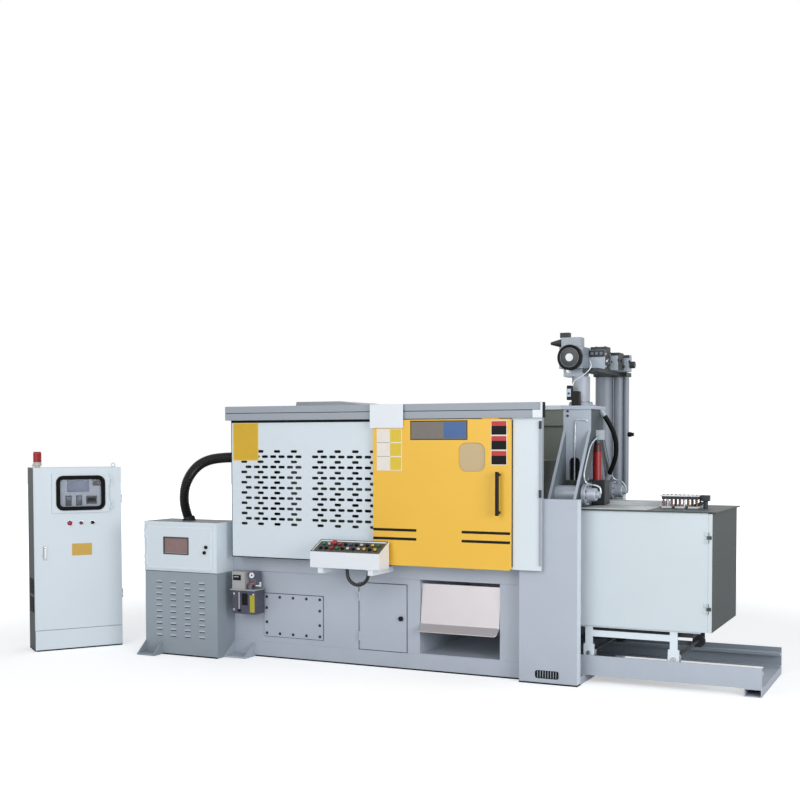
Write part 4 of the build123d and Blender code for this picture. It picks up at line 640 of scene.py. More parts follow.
class CASTER_OT_hoses(Operator):
    """Makes the ribbed cable hose and the small hoses of the desk and the tower"""

    bl_idname = "caster.hoses"
    bl_label = "Hoses"

    def execute(self, context):
        self.cable_hose()
        self.desk_hose()
        self.tower_hose()
        return {"FINISHED"}

    def cable_hose(self):
        """The thick hose from the power cabinet up to the guard's left end."""
        foot = Vector((-1.762, -0.570, 1.010))
        steps = ((-0.038, 0.088), (-0.050, 0.176), (-0.036, 0.266), (0.010, 0.352), (0.086, 0.424),
                 (0.184, 0.466), (0.312, 0.483), (0.440, 0.486))
        points = [foot + Vector((x, 0, z)) for x, z in steps]
        points.insert(0, foot + (points[0] - foot).normalized() * 0.024)
        guide = curve("hose_guide", points)
        bpy.context.scene.collection.objects.link(guide)
        graph = bpy.context.evaluated_depsgraph_get()
        line = bpy.data.meshes.new_from_object(guide.evaluated_get(graph))
        path = [vert.co.copy() for vert in line.vertices]
        bpy.data.objects.remove(guide)
        piece = self.ribbed("power_hose_ribs", path, 0.038)
        settle(piece, "machine", "power_hose")

    def ribbed(self, name, path, radius):
        """A corrugated tube of rings along a path."""
        lengths = [0.0]
        for a, b in zip(path, path[1:]):
            lengths.append(lengths[-1] + (b - a).length)
        bm = bmesh.new()
        count = round(lengths[-1] / sizes().rib) * 4
        before = None
        for index in range(count + 1):
            along = lengths[-1] * index / count
            here = max(i for i, length in enumerate(lengths[:-1]) if length <= along + 1e-9)
            share = (along - lengths[here]) / (lengths[here + 1] - lengths[here])
            centre = path[here].lerp(path[here + 1], share)
            way = (path[min(here + 2, len(path) - 1)] - path[max(here - 1, 0)]).normalized()
            across = Vector((0, 1, 0))
            upward = way.cross(across).normalized()
            turn = Matrix((across, upward, across.cross(upward))).transposed().to_4x4()
            depth = sizes().rib_depth * (0, 0.6, 1, 0.6)[index % 4]
            ring = bmesh.ops.create_circle(
                bm, cap_ends=index in (0, count), segments=36, radius=radius - depth,
                matrix=Matrix.Translation(centre) @ turn,
            )
            edges = once(edge for vert in ring["verts"] for edge in vert.link_edges)
            if before:
                bmesh.ops.bridge_loops(bm, edges=before + edges)
            before = edges
        bmesh.ops.recalc_face_normals(bm, faces=bm.faces)
        rubber = finish("ribbed hose", (0.08, 0.08, 0.085), 0.26, patches=0.3, patch=0.05, gloss=0.3)
        return bpy.data.objects.new(name, finished(bm, name, [rubber]))

    def tower_hose(self):
        """The hose that loops out of the right side of the tower and back."""
        plate, top = 1.290, 1.835
        steps = ((0.022, 0.100, -0.040), (0.066, 0.126, -0.1165), (0.089, 0.152, -0.202),
                 (0.089, 0.178, -0.290), (0.066, 0.204, -0.3755), (0.022, 0.230, -0.452))
        points = [Vector((plate + x, y, top + z)) for x, y, z in steps]
        piece = curve("tower_hose_tube", points, 0.017)
        rubber = finish("tower hose", (0.06, 0.06, 0.065), 0.6, patches=0.2, patch=0.05, gloss=0.15)
        piece.data.materials.append(rubber)
        settle(piece, "machine", "tower_hose")

    def desk_hose(self):
        """The half loop that hangs under the desk."""
        bend, drop, corners = 0.084, 0.033, 6
        middle = Vector((-0.197, -0.760, 0.733 - drop))
        step = math.pi / corners
        reach = bend / math.cos(step / 2)
        points = [middle + Vector((-bend, 0, drop))]
        for index in range(corners):
            angle = math.pi + step * (index + 0.5)
            points.append(middle + Vector((reach * math.cos(angle), 0, reach * math.sin(angle))))
        points.append(middle + Vector((bend, 0, drop - 0.012)))
        piece = curve("desk_hose_tube", points, 0.012)
        rubber = finish("desk hose", (0.12, 0.12, 0.13), 0.4, patches=0.2, patch=0.05)
        piece.data.materials.append(rubber)
        settle(piece, "machine", "desk_hose")


class CASTER_OT_bed(Operator):
    """Finishes the bed, its covers, the chute, the posts and the furnace rails"""

    bl_idname = "caster.bed"
    bl_label = "Bed"

    def execute(self, context):
        dress("bed", bed_paint())
        dress("access_cover", bed_paint(), 0.0015)
        hatch = dress("bed_door", bed_paint(), 0.0015)
        recolour(hatch, black_plastic(), lambda c, n: c.y < -0.5115 and c.x > -0.02)
        dress("chute_slide", stainless(), 0.001)
        posts = dress("side_posts", bed_paint())
        # Painted light: the posts' right sides get a paler copy of the paint, standing in for light from
        # the right.
        lit_post_side = finish("post side painted light", (0.83, 0.87, 0.90), 0.5, patches=0.06)
        recolour(posts, lit_post_side, lambda c, n: n.x > 0.9 and c.x > 1.3)
        # Painted shade: the inside of the floor slot pockets is painted black.
        recolour(posts, black_paint(),
                 lambda c, n: 1.04 < c.x < 1.22 and c.z < 0.095 and -0.579 < c.y < -0.5)
        rails = dress("furnace_rails", bed_paint(), 0.0015)
        # Painted shade: the far rail's inner face gets a darker copy of the rail paint.
        far = finish("far rail painted shade", (0.50, 0.54, 0.58), 0.55, patches=0.1)
        recolour(rails, far, lambda c, n: c.y > 0.2 and n.y < -0.5)
        self.bolts()
        self.slot_bars()
        self.seams_and_contact_shadow()
        return {"FINISHED"}

    def seams_and_contact_shadow(self):
        """Dark rims round the covers, seams deepened with painted shade, and black strips of painted
        contact shadow along the floor.
        """
        shape = Shape()
        dark = finish("seam", (0.16, 0.17, 0.18), 0.6, patches=0.2, patch=0.2)
        # Painted shade: each cover's seam is drawn as a dark rim round it.
        for node, grow in (("access_cover", 0.004), ("bed_door", 0.005)):
            low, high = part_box(node)
            shape.hoop((low.x - grow, BED_FRONT - 0.0012, low.z - grow),
                       (high.x + grow, BED_FRONT, high.z + grow), 0.003, 0.004, dark)
        shape.make("cover_seams_and_shade", "machine", slot="black_paint")
        # Painted contact shadow: black strips along the floor at the foot of the bed, the posts and the
        # power base.
        strip = Shape()
        for low, high in (((-1.216, -0.5055), (0.930, -0.504)),
                          ((0.930, -0.5815), (1.338, POST_FRONT)),
                          ((1.338, POST_FRONT), (1.3395, -0.505)),
                          ((-2.062, -0.7225), (-1.404, -0.721))):
            strip.slab((*low, 0), (*high, CONTACT_SHADOW_HEIGHT), black_paint(), 0)
        strip.make("floor_contact_shadow", "machine", slot="black_paint")

    def bolts(self):
        """Bolts round the access cover, five along each edge and two more up each side."""
        shape = Shape()
        low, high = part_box("access_cover")
        inset, radius = 0.024, 0.008
        for index in range(5):
            x = low.x + inset + (high.x - low.x - 2 * inset) * index / 4
            for z in (low.z + inset, high.z - inset):
                shape.bolt((x, low.y, z), FRONT, radius, dark_iron())
        for z in (low.z + (high.z - low.z) / 3, low.z + 2 * (high.z - low.z) / 3):
            for x in (low.x + inset, high.x - inset):
                shape.bolt((x, low.y, z), FRONT, radius, dark_iron())
        shape.make("bed_bolts", "machine", slot="steel")

    def slot_bars(self):
        """Thin upright bars in the floor slots of the side posts."""
        shape = Shape()
        half, pitch = 0.002, 0.0185
        for y in (-0.562, 0.562):
            for index in range(9):
                x = 1.055 + index * pitch
                shape.slab((x, y - half, 0.039), (x + 2 * half, y + half, 0.09), cast_iron(), 0)
        shape.make("post_slot_bars", "machine", slot="steel")


class CASTER_OT_clamp(Operator):
    """Finishes the clamp unit inside the guard"""

    bl_idname = "caster.clamp"
    bl_label = "Clamp unit"

    def execute(self, context):
        # Painted shade: the platen and the clamp unit inside the guard take the shaded inside colour.
        dress("fixed_platen", shaded_inside_paint())
        dress("clamp_unit", shaded_inside_paint())
        dress("tie_bars", chrome(), 0.003)
        return {"FINISHED"}


class CASTER_OT_guard(Operator):
    """Finishes the guard sheets, the frame, the rail and the roof"""

    bl_idname = "caster.guard"
    bl_label = "Guard"

    def execute(self, context):
        guard_frame = dress("guard_frame", rail_paint(), 0.0015)
        # Painted shade: the frame's inner parts take the shaded inside colour.
        recolour(guard_frame, shaded_inside_paint(), lambda c, n: c.y > -0.57)
        # Painted shade: the frame seen through the slots of the left sheet is painted black.
        recolour(guard_frame, black_paint(), lambda c, n: c.y < -0.60 and c.x < -0.15)
        front = dress("front_panels", guard_paint(), 0)
        # Painted shade: the inner faces of the sheets take the shaded inside colour.
        recolour(front, shaded_inside_paint(), lambda c, n: n.y > 0.5)
        rear = dress("rear_panel", guard_paint(), 0)
        recolour(rear, shaded_inside_paint(), lambda c, n: n.y < -0.5 and c.z < 1.86)
        end = dress("left_end_panel", guard_paint(), 0)
        recolour(end, shaded_inside_paint(), lambda c, n: n.x > 0.5)
        roof = dress("guard_roof", guard_paint(), 0.003)
        hood = finish("hood paint", (0.60, 0.62, 0.64), 0.4, 0.15, patches=0.22, patch=0.35)
        recolour(roof, hood, lambda c, n: c.z > 1.80)
        # Painted shade: the roof's underside takes the shaded inside colour.
        recolour(roof, shaded_inside_paint(), lambda c, n: n.z < -0.5)
        rail = dress("front_rail", rail_paint(), 0.0008)
        # Painted shade: the groove in the rail's face is painted black.
        recolour(rail, black_paint(), lambda c, n: -0.6475 < c.y < -0.645 and 1.81 < c.z < 1.83)
        covers = dress("rail_covers", white_paint(), 0.0012)
        recolour(covers, black_paint(), lambda c, n: c.x > 1.1045)
        self.plates()
        return {"FINISHED"}

    def plates(self):
        """The blank yellow plate, dark strips of painted shadow under the rail, at the left edge, under the
        sheets and beside the door, and the latch rod with its clips.
        """
        shape = Shape()
        yellow = coloured_plastic("yellow plate", 214, 172, 40, 0.4)
        shape.slab((-1.322, -0.6212, 1.472), (-1.100, GUARD_FRONT, 1.749), yellow, 0.0005)
        edge = coloured_plastic("yellow plate edge", 236, 202, 92, 0.4)
        for low, high in (((-1.322, 1.472), (-1.100, 1.478)), ((-1.322, 1.743), (-1.100, 1.749)),
                          ((-1.322, 1.478), (-1.316, 1.743)), ((-1.106, 1.478), (-1.100, 1.743))):
            shape.slab((low[0], -0.6217, low[1]), (high[0], GUARD_FRONT, high[1]), edge, 0)
        shape.make("guard_plate", "machine", slot="yellow_paint")
        shade_strips_and_rod = Shape()
        dark = black_paint()
        # Painted shadow: dark strips under the rail, at the left edge, under the sheets and beside the
        # door.
        shade_strips_and_rod.slab((-1.337, -0.6230, 1.750), (-0.100, GUARD_FRONT, 1.768), dark, 0)
        shade_strips_and_rod.slab((-1.3375, -0.6215, 0.763), (-1.3330, GUARD_FRONT, 1.750), dark, 0)
        shade_strips_and_rod.slab((-1.337, -0.622, 0.757), (-0.131, -0.6135, 0.7635), dark, 0)
        shade_strips_and_rod.slab((0.892, -0.621, 0.775), (0.900, -0.6165, 1.755), dark, 0.0005)
        shade_strips_and_rod.rod((1.096, -0.627, 0.790), (1.096, -0.627, 1.740), 0.006, rail_paint())
        for z in (1.267, 1.720):
            shade_strips_and_rod.slab((1.086, -0.634, z - 0.026), (1.103, GUARD_FRONT, z + 0.026), dark_iron())
        shade_strips_and_rod.make("guard_shade_strips_and_rod", "machine", slot="black_paint")


class CASTER_OT_door(Operator):
    """Finishes the sliding door with its window, handle, stripes and blank plates"""

    bl_idname = "caster.door"
    bl_label = "Sliding door"

    def execute(self, context):
        door = dress("sliding_door", door_paint(), 0.002)
        # Painted shade: the door's underside is painted black.
        recolour(door, black_paint(), lambda c, n: n.z < -0.5 and c.z < 0.76)
        dress("door_window", clear_glass("door pane", 200, 178, 136, 0.95, 0.3), 0)
        dress("door_handle", black_plastic(), 0.004)
        self.plates()
        return {"FINISHED"}

    def plates(self):
        """Blank plates in place of signs, and the two broken black stripes."""
        shape = Shape()
        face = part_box("sliding_door")[0].y
        black = black_paint()
        blue = coloured_plastic("blue field", 62, 98, 150, 0.35)
        pale = coloured_plastic("pale plate", 232, 226, 216, 0.4)
        amber = coloured_plastic("amber plate", 222, 192, 52, 0.4)
        grey = coloured_plastic("grey plate", 116, 110, 104, 0.4)
        red = coloured_plastic("red field", 186, 40, 36, 0.35)

        def plate(x0, x1, z0, z1, material, depth=0.0012):
            shape.slab((x0, face - depth, z0), (x1, face, z1), material, 0.0004)

        plate(0.160, 0.587, 1.623, 1.754, black, 0.0010)
        plate(0.166, 0.581, 1.629, 1.748, grey, 0.0014)
        plate(0.412, 0.576, 1.634, 1.743, blue, 0.0019)
        plate(-0.100, 0.094, 1.411, 1.701, pale)
        for index in range(3):
            z = 1.416 + index * 0.096
            plate(0.004, 0.090, z, z + 0.088, amber, 0.0017)
            high = 1.749 - index * 0.099
            plate(0.757, 0.872, high - 0.096, high + 0.002, pale, 0.0010)
            plate(0.761, 0.868, high - 0.092, high - 0.034, black, 0.0015)
            plate(0.761, 0.868, high - 0.034, high - 0.002, red, 0.0018)
        for index in range(2):
            z = 1.507 + index * 0.096
            plate(-0.098, 0.004, z, z + 0.003, grey, 0.0014)
        for z in (0.940, 1.001):
            plate(-0.129, 0.205, z - 0.009, z + 0.009, black)
            plate(0.545, 0.895, z - 0.009, z + 0.009, black)
        shape.make("door_plates", "door", slot="black_paint")


class CASTER_OT_desk(Operator):
    """Finishes the operator's desk and makes its buttons"""

    bl_idname = "caster.desk"
    bl_label = "Operator's desk"

    def execute(self, context):
        desk = dress("control_desk", white_paint(), 0.002)
        slope = Vector((0, -0.447, 0.894))
        face = finish("desk face", (0.30, 0.28, 0.25), 0.45, patches=0.3, patch=0.03)
        recolour(desk, face, lambda c, n: n.dot(slope) > 0.95 and -0.82 < c.y < -0.70)
        self.buttons()
        return {"FINISHED"}

    def buttons(self):
        """Two rows of eleven on the sloping face: buttons, switches and the stop button."""
        front, lip, run, rise = -0.823, 0.851, 0.126, 0.5
        slope = math.atan(rise)
        greens = coloured_plastic("green button", 40, 140, 84)
        reds = coloured_plastic("red button", 190, 34, 34)
        blacks = black_plastic()
        yellows = coloured_plastic("yellow button", 226, 196, 60)
        blues = coloured_plastic("blue button", 60, 90, 150)
        whites = coloured_plastic("white button", 216, 216, 208)
        upper = (greens, whites, reds, reds, blacks, blues, blacks, whites, blacks, yellows, greens)
        lower = (blacks, blacks, reds, greens, blacks, whites, blacks, whites, yellows, blacks, yellows)
        shape = Shape()
        normal = Vector((0, -math.sin(slope), math.cos(slope)))
        middle, pitch, sunk = -0.2625, 0.043, 0.006
        for share, row in ((0.32, lower), (0.70, upper)):
            y = front + share * run
            z = lip + rise * (y - front) - sunk
            for index, colour in enumerate(row):
                foot = Vector((middle + (index - 5) * pitch, y, z))
                stop = row is upper and index == 2
                shape.rod(foot, foot + normal * 0.004, 0.0150, blacks, edge=0.001, sides=28)
                if stop:
                    profile = ((0.0, 0.030), (0.010, 0.0295), (0.017, 0.027), (0.020, 0.022),
                               (0.0195, 0.017), (0.010, 0.014), (0.010, 0.0), (0.0, 0.0))
                    shape.turned(profile, foot, normal, reds, 28)
                elif index % 3 == 1:
                    shape.rod(foot, foot + normal * 0.009, 0.011, colour, edge=0.001, sides=28)
                    spread = Vector((0.0105, 0.003, 0.003))
                    base = foot + normal * 0.012
                    shape.slab(base - spread, base + spread, colour, 0.001)
                else:
                    shape.rod(foot, foot + normal * 0.012, 0.011, colour, edge=0.002, sides=28)
        shape.make("desk_button_set", "machine", "desk_buttons")


class CASTER_OT_power(Operator):
    """Finishes the power cabinet with its louvres, window and knobs"""

    bl_idname = "caster.power"
    bl_label = "Power cabinet"

    def execute(self, context):
        base = dress("power_cabinet_base", power_paint(), 0.0006)
        # Painted highlight: the louvres' upper faces get a paler paint.
        light = finish("louvre painted highlight", (0.70, 0.74, 0.78), 0.45, patches=0.05)
        recolour(base, light, lambda c, n: -0.7285 < c.y < -0.7215 and n.z > 0.2)
        # Painted shade: the louvres' undersides are painted black.
        recolour(base, black_paint(), lambda c, n: n.z < -0.5 and 0.13 < c.z < 0.60)
        box = dress("power_cabinet_box", cabinet_paint())
        lid = finish("cabinet top", (0.44, 0.46, 0.47), 0.5, patches=0.12, patch=0.3)
        recolour(box, lid, lambda c, n: n.z > 0.9 and c.z > 1.008)
        recolour(box, black_plastic(), lambda c, n: c.z > 1.0115)
        door = dress("power_cabinet_door", cabinet_paint(), 0.0015)
        pane = finish("power window", (0.56, 0.46, 0.45), 0.2, patches=0.12, patch=0.08)
        recolour(door, pane, lambda c, n: n.y < -0.9 and -0.7335 < c.y < -0.730)
        self.door_fittings()
        self.louvre_shade()
        return {"FINISHED"}

    def door_fittings(self):
        """Two knobs, the window's frame and a pale line of painted highlight round the door's edge."""
        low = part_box("power_cabinet_door")[0]
        face = low.y + 0.006
        shape = Shape()
        for x, z in ((-1.488, 0.829), (-1.502, 0.788)):
            shape.rod((x, face, z), (x, face - 0.012, z), 0.013, black_plastic(), edge=0.002)
        shape.hoop((-1.880, face - 0.002, 0.764), (-1.647, face, 0.897), 0.006, 0.010, dark_paint())
        # Painted highlight: a pale line round the door's edge.
        shape.hoop((low.x + 0.012, face - 0.002, low.z + 0.012), (-1.448, face, 0.973),
                   0.006, 0.007, white_paint())
        shape.make("power_door_knobs", "power_hatch", slot="black_plastic")

    def louvre_shade(self):
        """Dark strips of painted shade under each louvre and under the box."""
        shape = Shape()
        front = LOUVRE_BASE_FRONT
        left, bottom, across, upward = -1.959, 0.146, 0.131, 0.045
        for column in range(4):
            for row in range(10):
                x, z = left + across * column, bottom + upward * row
                # Painted shade: a black strip under each louvre.
                shape.slab((x + 0.002, front - 0.001, z - 0.007), (x + 0.050, front, z), black_paint(), 0)
        # Painted shade: a dark line under the box.
        shape.slab((-2.062, front - 0.001, 0.631), (-1.404, front, 0.636), dark_paint(), 0)
        shape.make("louvre_shade", "machine", slot="black_paint")


class CASTER_OT_lubricator(Operator):
    """Makes the lubricator with its tank, motor box, gauge and filler"""

    bl_idname = "caster.lubricator"
    bl_label = "Lubricator"

    def execute(self, context):
        smoky = finish("tank plastic", (0.30, 0.30, 0.36), 0.25, patches=0.35, patch=0.05)
        tank = dress("lube_tank", smoky)
        recolour(tank, bed_paint(), lambda c, n: c.y > -0.517)
        casing = finish("pump casing", (0.66, 0.66, 0.66), 0.45, patches=0.1, patch=0.1)
        pump = dress("lube_pump", casing)
        blue = finish("pump block", (0.40, 0.41, 0.47), 0.45, patches=0.15, patch=0.05)
        recolour(pump, blue, lambda c, n: c.x > -1.207 and c.z > 0.521)
        self.fittings()
        return {"FINISHED"}

    def fittings(self):
        """Plates, screws and sight glass of the tank, the filler, the gauge and the outlet."""
        shape = Shape()
        black = black_paint()
        yellow = coloured_plastic("tank plate", 176, 168, 46, 0.45)
        shape.slab((-1.311, -0.650, 0.585), (-1.243, TANK_FRONT, 0.625), black, 0.0005)
        shape.slab((-1.303, -0.6512, 0.609), (-1.262, -0.650, 0.613), cabinet_paint(), 0)
        shape.slab((-1.165, -0.6495, 0.352), (-1.124, TANK_FRONT, 0.478), yellow, 0.0005)
        shape.slab((-1.262, -0.653, 0.372), (-1.252, TANK_FRONT, 0.498), chrome(), 0.001)
        shape.rod((-1.257, TANK_FRONT, 0.362), (-1.257, -0.658, 0.362), 0.011, black, edge=0.001)
        for x in (-1.232, -1.206):
            shape.slab((x, -0.654, 0.404), (x + 0.020, TANK_FRONT, 0.490), black, 0.001)
        for z in (0.366, 0.484):
            for x in (-1.305, -1.135):
                shape.bolt((x, TANK_FRONT, z), FRONT, 0.006, chrome())
        orange = coloured_plastic("filler cap", 196, 92, 66, 0.4)
        shape.rod((-1.176, -0.6, 0.553), (-1.176, -0.6, 0.566), 0.021, orange, edge=0.002)
        shape.turned(((0.0, 0.0), (0.021, 0.0), (0.021, 0.006), (0.017, 0.006), (0.016, 0.003),
                      (0.0, 0.003)), (-1.164, -0.620, 0.624), FRONT, white_paint())
        shape.rod((-1.164, -0.623, 0.624), (-1.164, -0.625, 0.624), 0.006, black, sides=16)
        shape.rod((-1.140, -0.60, 0.545), (-1.105, -0.60, 0.545), 0.012, chrome(), edge=0.001)
        shape.rod((-1.105, -0.60, 0.540), (-1.105, -0.60, 0.575), 0.010, chrome(), edge=0.001)
        shape.make("lube_fittings", "machine", slot="black_plastic")


class CASTER_OT_cabinet(Operator):
    """Finishes the control cabinet, its doors, instruments, lamps and beacon"""

    bl_idname = "caster.cabinet"
    bl_label = "Control cabinet"

    def execute(self, context):
        cabinet = dress("control_cabinet", cabinet_paint())
        outward = cabinet_place().to_3x3() @ Vector((-1, 0, 0))
        # Painted shade: the cabinet's left side takes the dark sheet paint.
        recolour(cabinet, dark_paint(), lambda c, n: n.dot(outward) > 0.9)
        dress("control_cabinet_door", cabinet_paint(), 0.002)
        dress("instrument_door", cabinet_paint(), 0.0015)
        dress("instrument_glass", clear_glass("instrument pane", 130, 144, 160, 0.05), 0)
        self.instruments()
        self.gasket()
        self.vents()
        self.beacon()
        return {"FINISHED"}

    def instruments(self):
        """The panel behind the pane, three lamps and the lock, then the blank plate and the handle."""
        shape = Shape(cabinet_place())
        chalk = coloured_plastic("instrument panel", 164, 172, 186, 0.4)
        screen = finish("screen", (0.30, 0.36, 0.48), 0.2, patches=0.1, patch=0.1)
        dark = finish("meter face", (0.09, 0.10, 0.13), 0.3, patches=0.2, patch=0.03)
        shape.slab((0.178, -0.0012, 1.096), (0.516, 0.0, 1.334), chalk, 0)
        shape.slab((0.247, -0.006, 1.223), (0.412, -0.0012, 1.319), screen, 0.001)
        for u in (0.234, 0.313):
            shape.slab((u, -0.008, 1.116), (u + 0.045, -0.0012, 1.196), dark, 0.002)
            shape.slab((u + 0.008, -0.009, 1.160), (u + 0.037, -0.0075, 1.186), screen, 0.0005)
        shape.slab((0.389, -0.008, 1.128), (0.472, -0.0012, 1.192), dark, 0.002)
        shape.slab((0.399, -0.009, 1.142), (0.462, -0.0075, 1.178), black_paint(), 0.0005)
        shape.slab((0.440, -0.006, 1.270), (0.500, -0.0012, 1.325), dark, 0.001)
        lamps = (coloured_plastic("lamp red", 150, 44, 66),
                 coloured_plastic("lamp dark red", 92, 30, 40), black_plastic())
        for index, lens in enumerate(lamps):
            foot = Vector((0.263 + index * 0.0865, 0, 0.982))
            radius = 0.020 if index == 0 else 0.015
            shape.rod(foot, foot + Vector((0, -0.004, 0)), radius + 0.003, chrome(), edge=0.001)
            shape.turned(((0.0, 0.018), (radius * 0.6, 0.0165), (radius * 0.95, 0.011), (radius, 0.0),
                          (0.0, 0.0)), foot, FRONT, lens)
        shape.turned(((0.0, 0.0035), (0.010, 0.0035), (0.011, 0.0), (0.0, 0.0)), (0.160, 0, 1.213),
                     FRONT, machined_steel(), 24)
        shape.make("cabinet_instrument_set", "cabinet_front", "cabinet_instruments")
        plate = Shape(cabinet_place())
        amber = coloured_plastic("amber sign", 206, 164, 56)
        plate.slab((0.278, -0.0012, 0.729), (0.429, 0, 0.822), amber, 0.0004)
        plate.hoop((0.058, -0.003, 0.696), (0.090, 0, 0.814), 0.012, 0.005, machined_steel())
        plate.slab((0.064, -0.014, 0.712), (0.084, -0.003, 0.806), chrome(), 0.003)
        plate.make("cabinet_lock", "cabinet_front", slot="steel")

    def gasket(self):
        """The rubber frame round the pane."""
        shape = Shape(cabinet_place())
        rubber = finish("gasket rubber", (0.06, 0.07, 0.07), 0.8, patches=0.15, patch=0.05, gloss=0.15)
        shape.hoop((0.162, -0.021, 1.080), (0.532, -0.0144, 1.350), 0.054, 0.030, rubber)
        shape.make("pane_gasket", "instrument_panel", slot="black_plastic")

    def vents(self):
        """Two dark side vents, black slats on a black backing of painted shade, and black strips of painted
        contact shadow at the floor.
        """
        shape = Shape(cabinet_place())
        black = black_paint()
        for low in (0.305, 0.445):
            for index in range(9):
                z = low + index * 0.0115
                shape.slab((-0.004, 0.060, z), (0.0, 0.190, z + 0.006), black, 0.001)
        # Painted shade: a black backing behind the slats stands for the dark inside the vents.
        for low in (0.295, 0.435):
            shape.slab((-0.0015, 0.050, low), (-0.0003, 0.215, low + 0.120), black, 0)
        # Painted contact shadow: black strips along the floor.
        shape.slab((0.004, -0.0015, 0), (0.656, -0.0003, CONTACT_SHADOW_HEIGHT), black, 0)
        shape.slab((-0.0015, 0.004, 0), (-0.0003, 0.246, CONTACT_SHADOW_HEIGHT), black, 0)
        shape.make("cabinet_vents", "machine", slot="black_paint")

    def beacon(self):
        """The red lamp with its ringed lens on top of the cabinet."""
        shape = Shape(cabinet_place())
        foot = (0.036, 0.036, 1.412)
        socket = ((0.0, 0.0), (0.020, 0.0), (0.020, 0.012), (0.031, 0.018), (0.031, 0.036),
                  (0.027, 0.044), (0.0, 0.044))
        shape.turned(socket, foot, UP, coloured_plastic("beacon foot", 196, 190, 182, 0.5))
        rings = [(0.0, 0.044), (0.0295, 0.044)]
        for index in range(7):
            z = 0.048 + index * 0.0095
            rings += [(0.031, z), (0.0295, z + 0.005)]
        rings += [(0.030, 0.116), (0.024, 0.123), (0.0, 0.124)]
        shape.turned(rings, foot, UP, coloured_plastic("beacon lens", 160, 22, 30, 0.18))
        shape.make("beacon_lamp", "machine", "beacon")


class CASTER_OT_furnace(Operator):
    """Finishes the furnace, its door, lid, burners, carriage and wheels"""

    bl_idname = "caster.furnace"
    bl_label = "Furnace"

    def execute(self, context):
        shell = dress("furnace_shell", furnace_paint())
        # Painted shade: the shell's underside and right end take the dark iron finish.
        recolour(shell, dark_iron(), lambda c, n: n.z < -0.5 or n.x > 0.5)
        # Partly the door's dark paint, partly painted shade: the door's end stays dark while its front is
        # pale.
        door = dress("furnace_door", dark_paint(), 0.002)
        recolour(door, furnace_paint(), lambda c, n: n.y < -0.5 and c.y > -0.42 and c.x < 2.181)
        lid = dress("furnace_lid", dark_paint(), 0.001)
        strip = finish("lid strip", (0.80, 0.82, 0.82), 0.4, patches=0.15, patch=0.2)
        recolour(lid, strip, lambda c, n: c.z > 1.1645)
        carriage = dress("furnace_carriage", cabinet_paint(), 0.0015)
        # Painted shade: the carriage's far legs take the dark iron finish.
        recolour(carriage, dark_iron(), lambda c, n: c.y > -0.37)
        for node in ("inner_wheelset", "outer_wheelset"):
            wheels = dress(node, machined_steel(), 0.002)
            # Painted shade: the far wheels take the dark iron finish.
            recolour(wheels, dark_iron(), lambda c, n: c.y > -0.36)
        self.burners()
        self.axles()
        return {"FINISHED"}

    def burners(self):
        """Two rows of finned tubes between three feet and a cover plate, with the gas valve."""
        low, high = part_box("burner_set")
        shape = Shape()
        silver, brown, dark = machined_steel(), copper(), dark_iron()
        shape.slab((low.x, low.y, 1.240), (low.x + 0.266, high.y, 1.251), silver, 0.002)
        shape.slab((low.x + 0.008, low.y + 0.008, 1.222), (low.x + 0.258, high.y - 0.008, 1.240),
                   dark, 0.002)
        for start in (0.010, 0.100, 0.190):
            x = low.x + start
            shape.slab((x, low.y, 1.163), (x + 0.066, high.y, 1.175), furnace_paint())
        for index in range(9):
            x = low.x + 0.020 + index * 0.0282
            for y in (low.y + 0.018, high.y - 0.018):
                tube = (brown, silver, brown, dark)[index % 4]
                shape.rod((x, y, 1.175), (x, y, 1.222), 0.006, tube, sides=16)
                for z in (1.184, 1.196, 1.208):
                    shape.rod((x, y, z), (x, y, z + 0.005), 0.010, tube, sides=16)
            shape.bolt((x, low.y + 0.014, 1.251), UP, 0.006, dark, washer=False)
        shape.slab((high.x - 0.054, low.y + 0.045, 1.211), (high.x, high.y - 0.045, 1.251), dark, 0.003)
        shape.rod((high.x - 0.027, 0, 1.163), (high.x - 0.027, 0, 1.211), 0.016, dark, edge=0.001)
        shape.rod((high.x - 0.10, -0.030, 1.180), (high.x - 0.035, -0.010, 1.200), 0.010, dark, sides=16)
        shape.make("burner_tubes", "furnace", "burner_set")

    def axles(self):
        """The bright axle ends in the carriage's legs."""
        shape = Shape()
        for x in (1.362, 1.933):
            for side in (-1, 1):
                shape.rod((x, side * 0.402, 0.2), (x, side * 0.407, 0.2), 0.016, chrome(), edge=0.001)
        shape.make("axle_ends", "furnace", slot="steel")


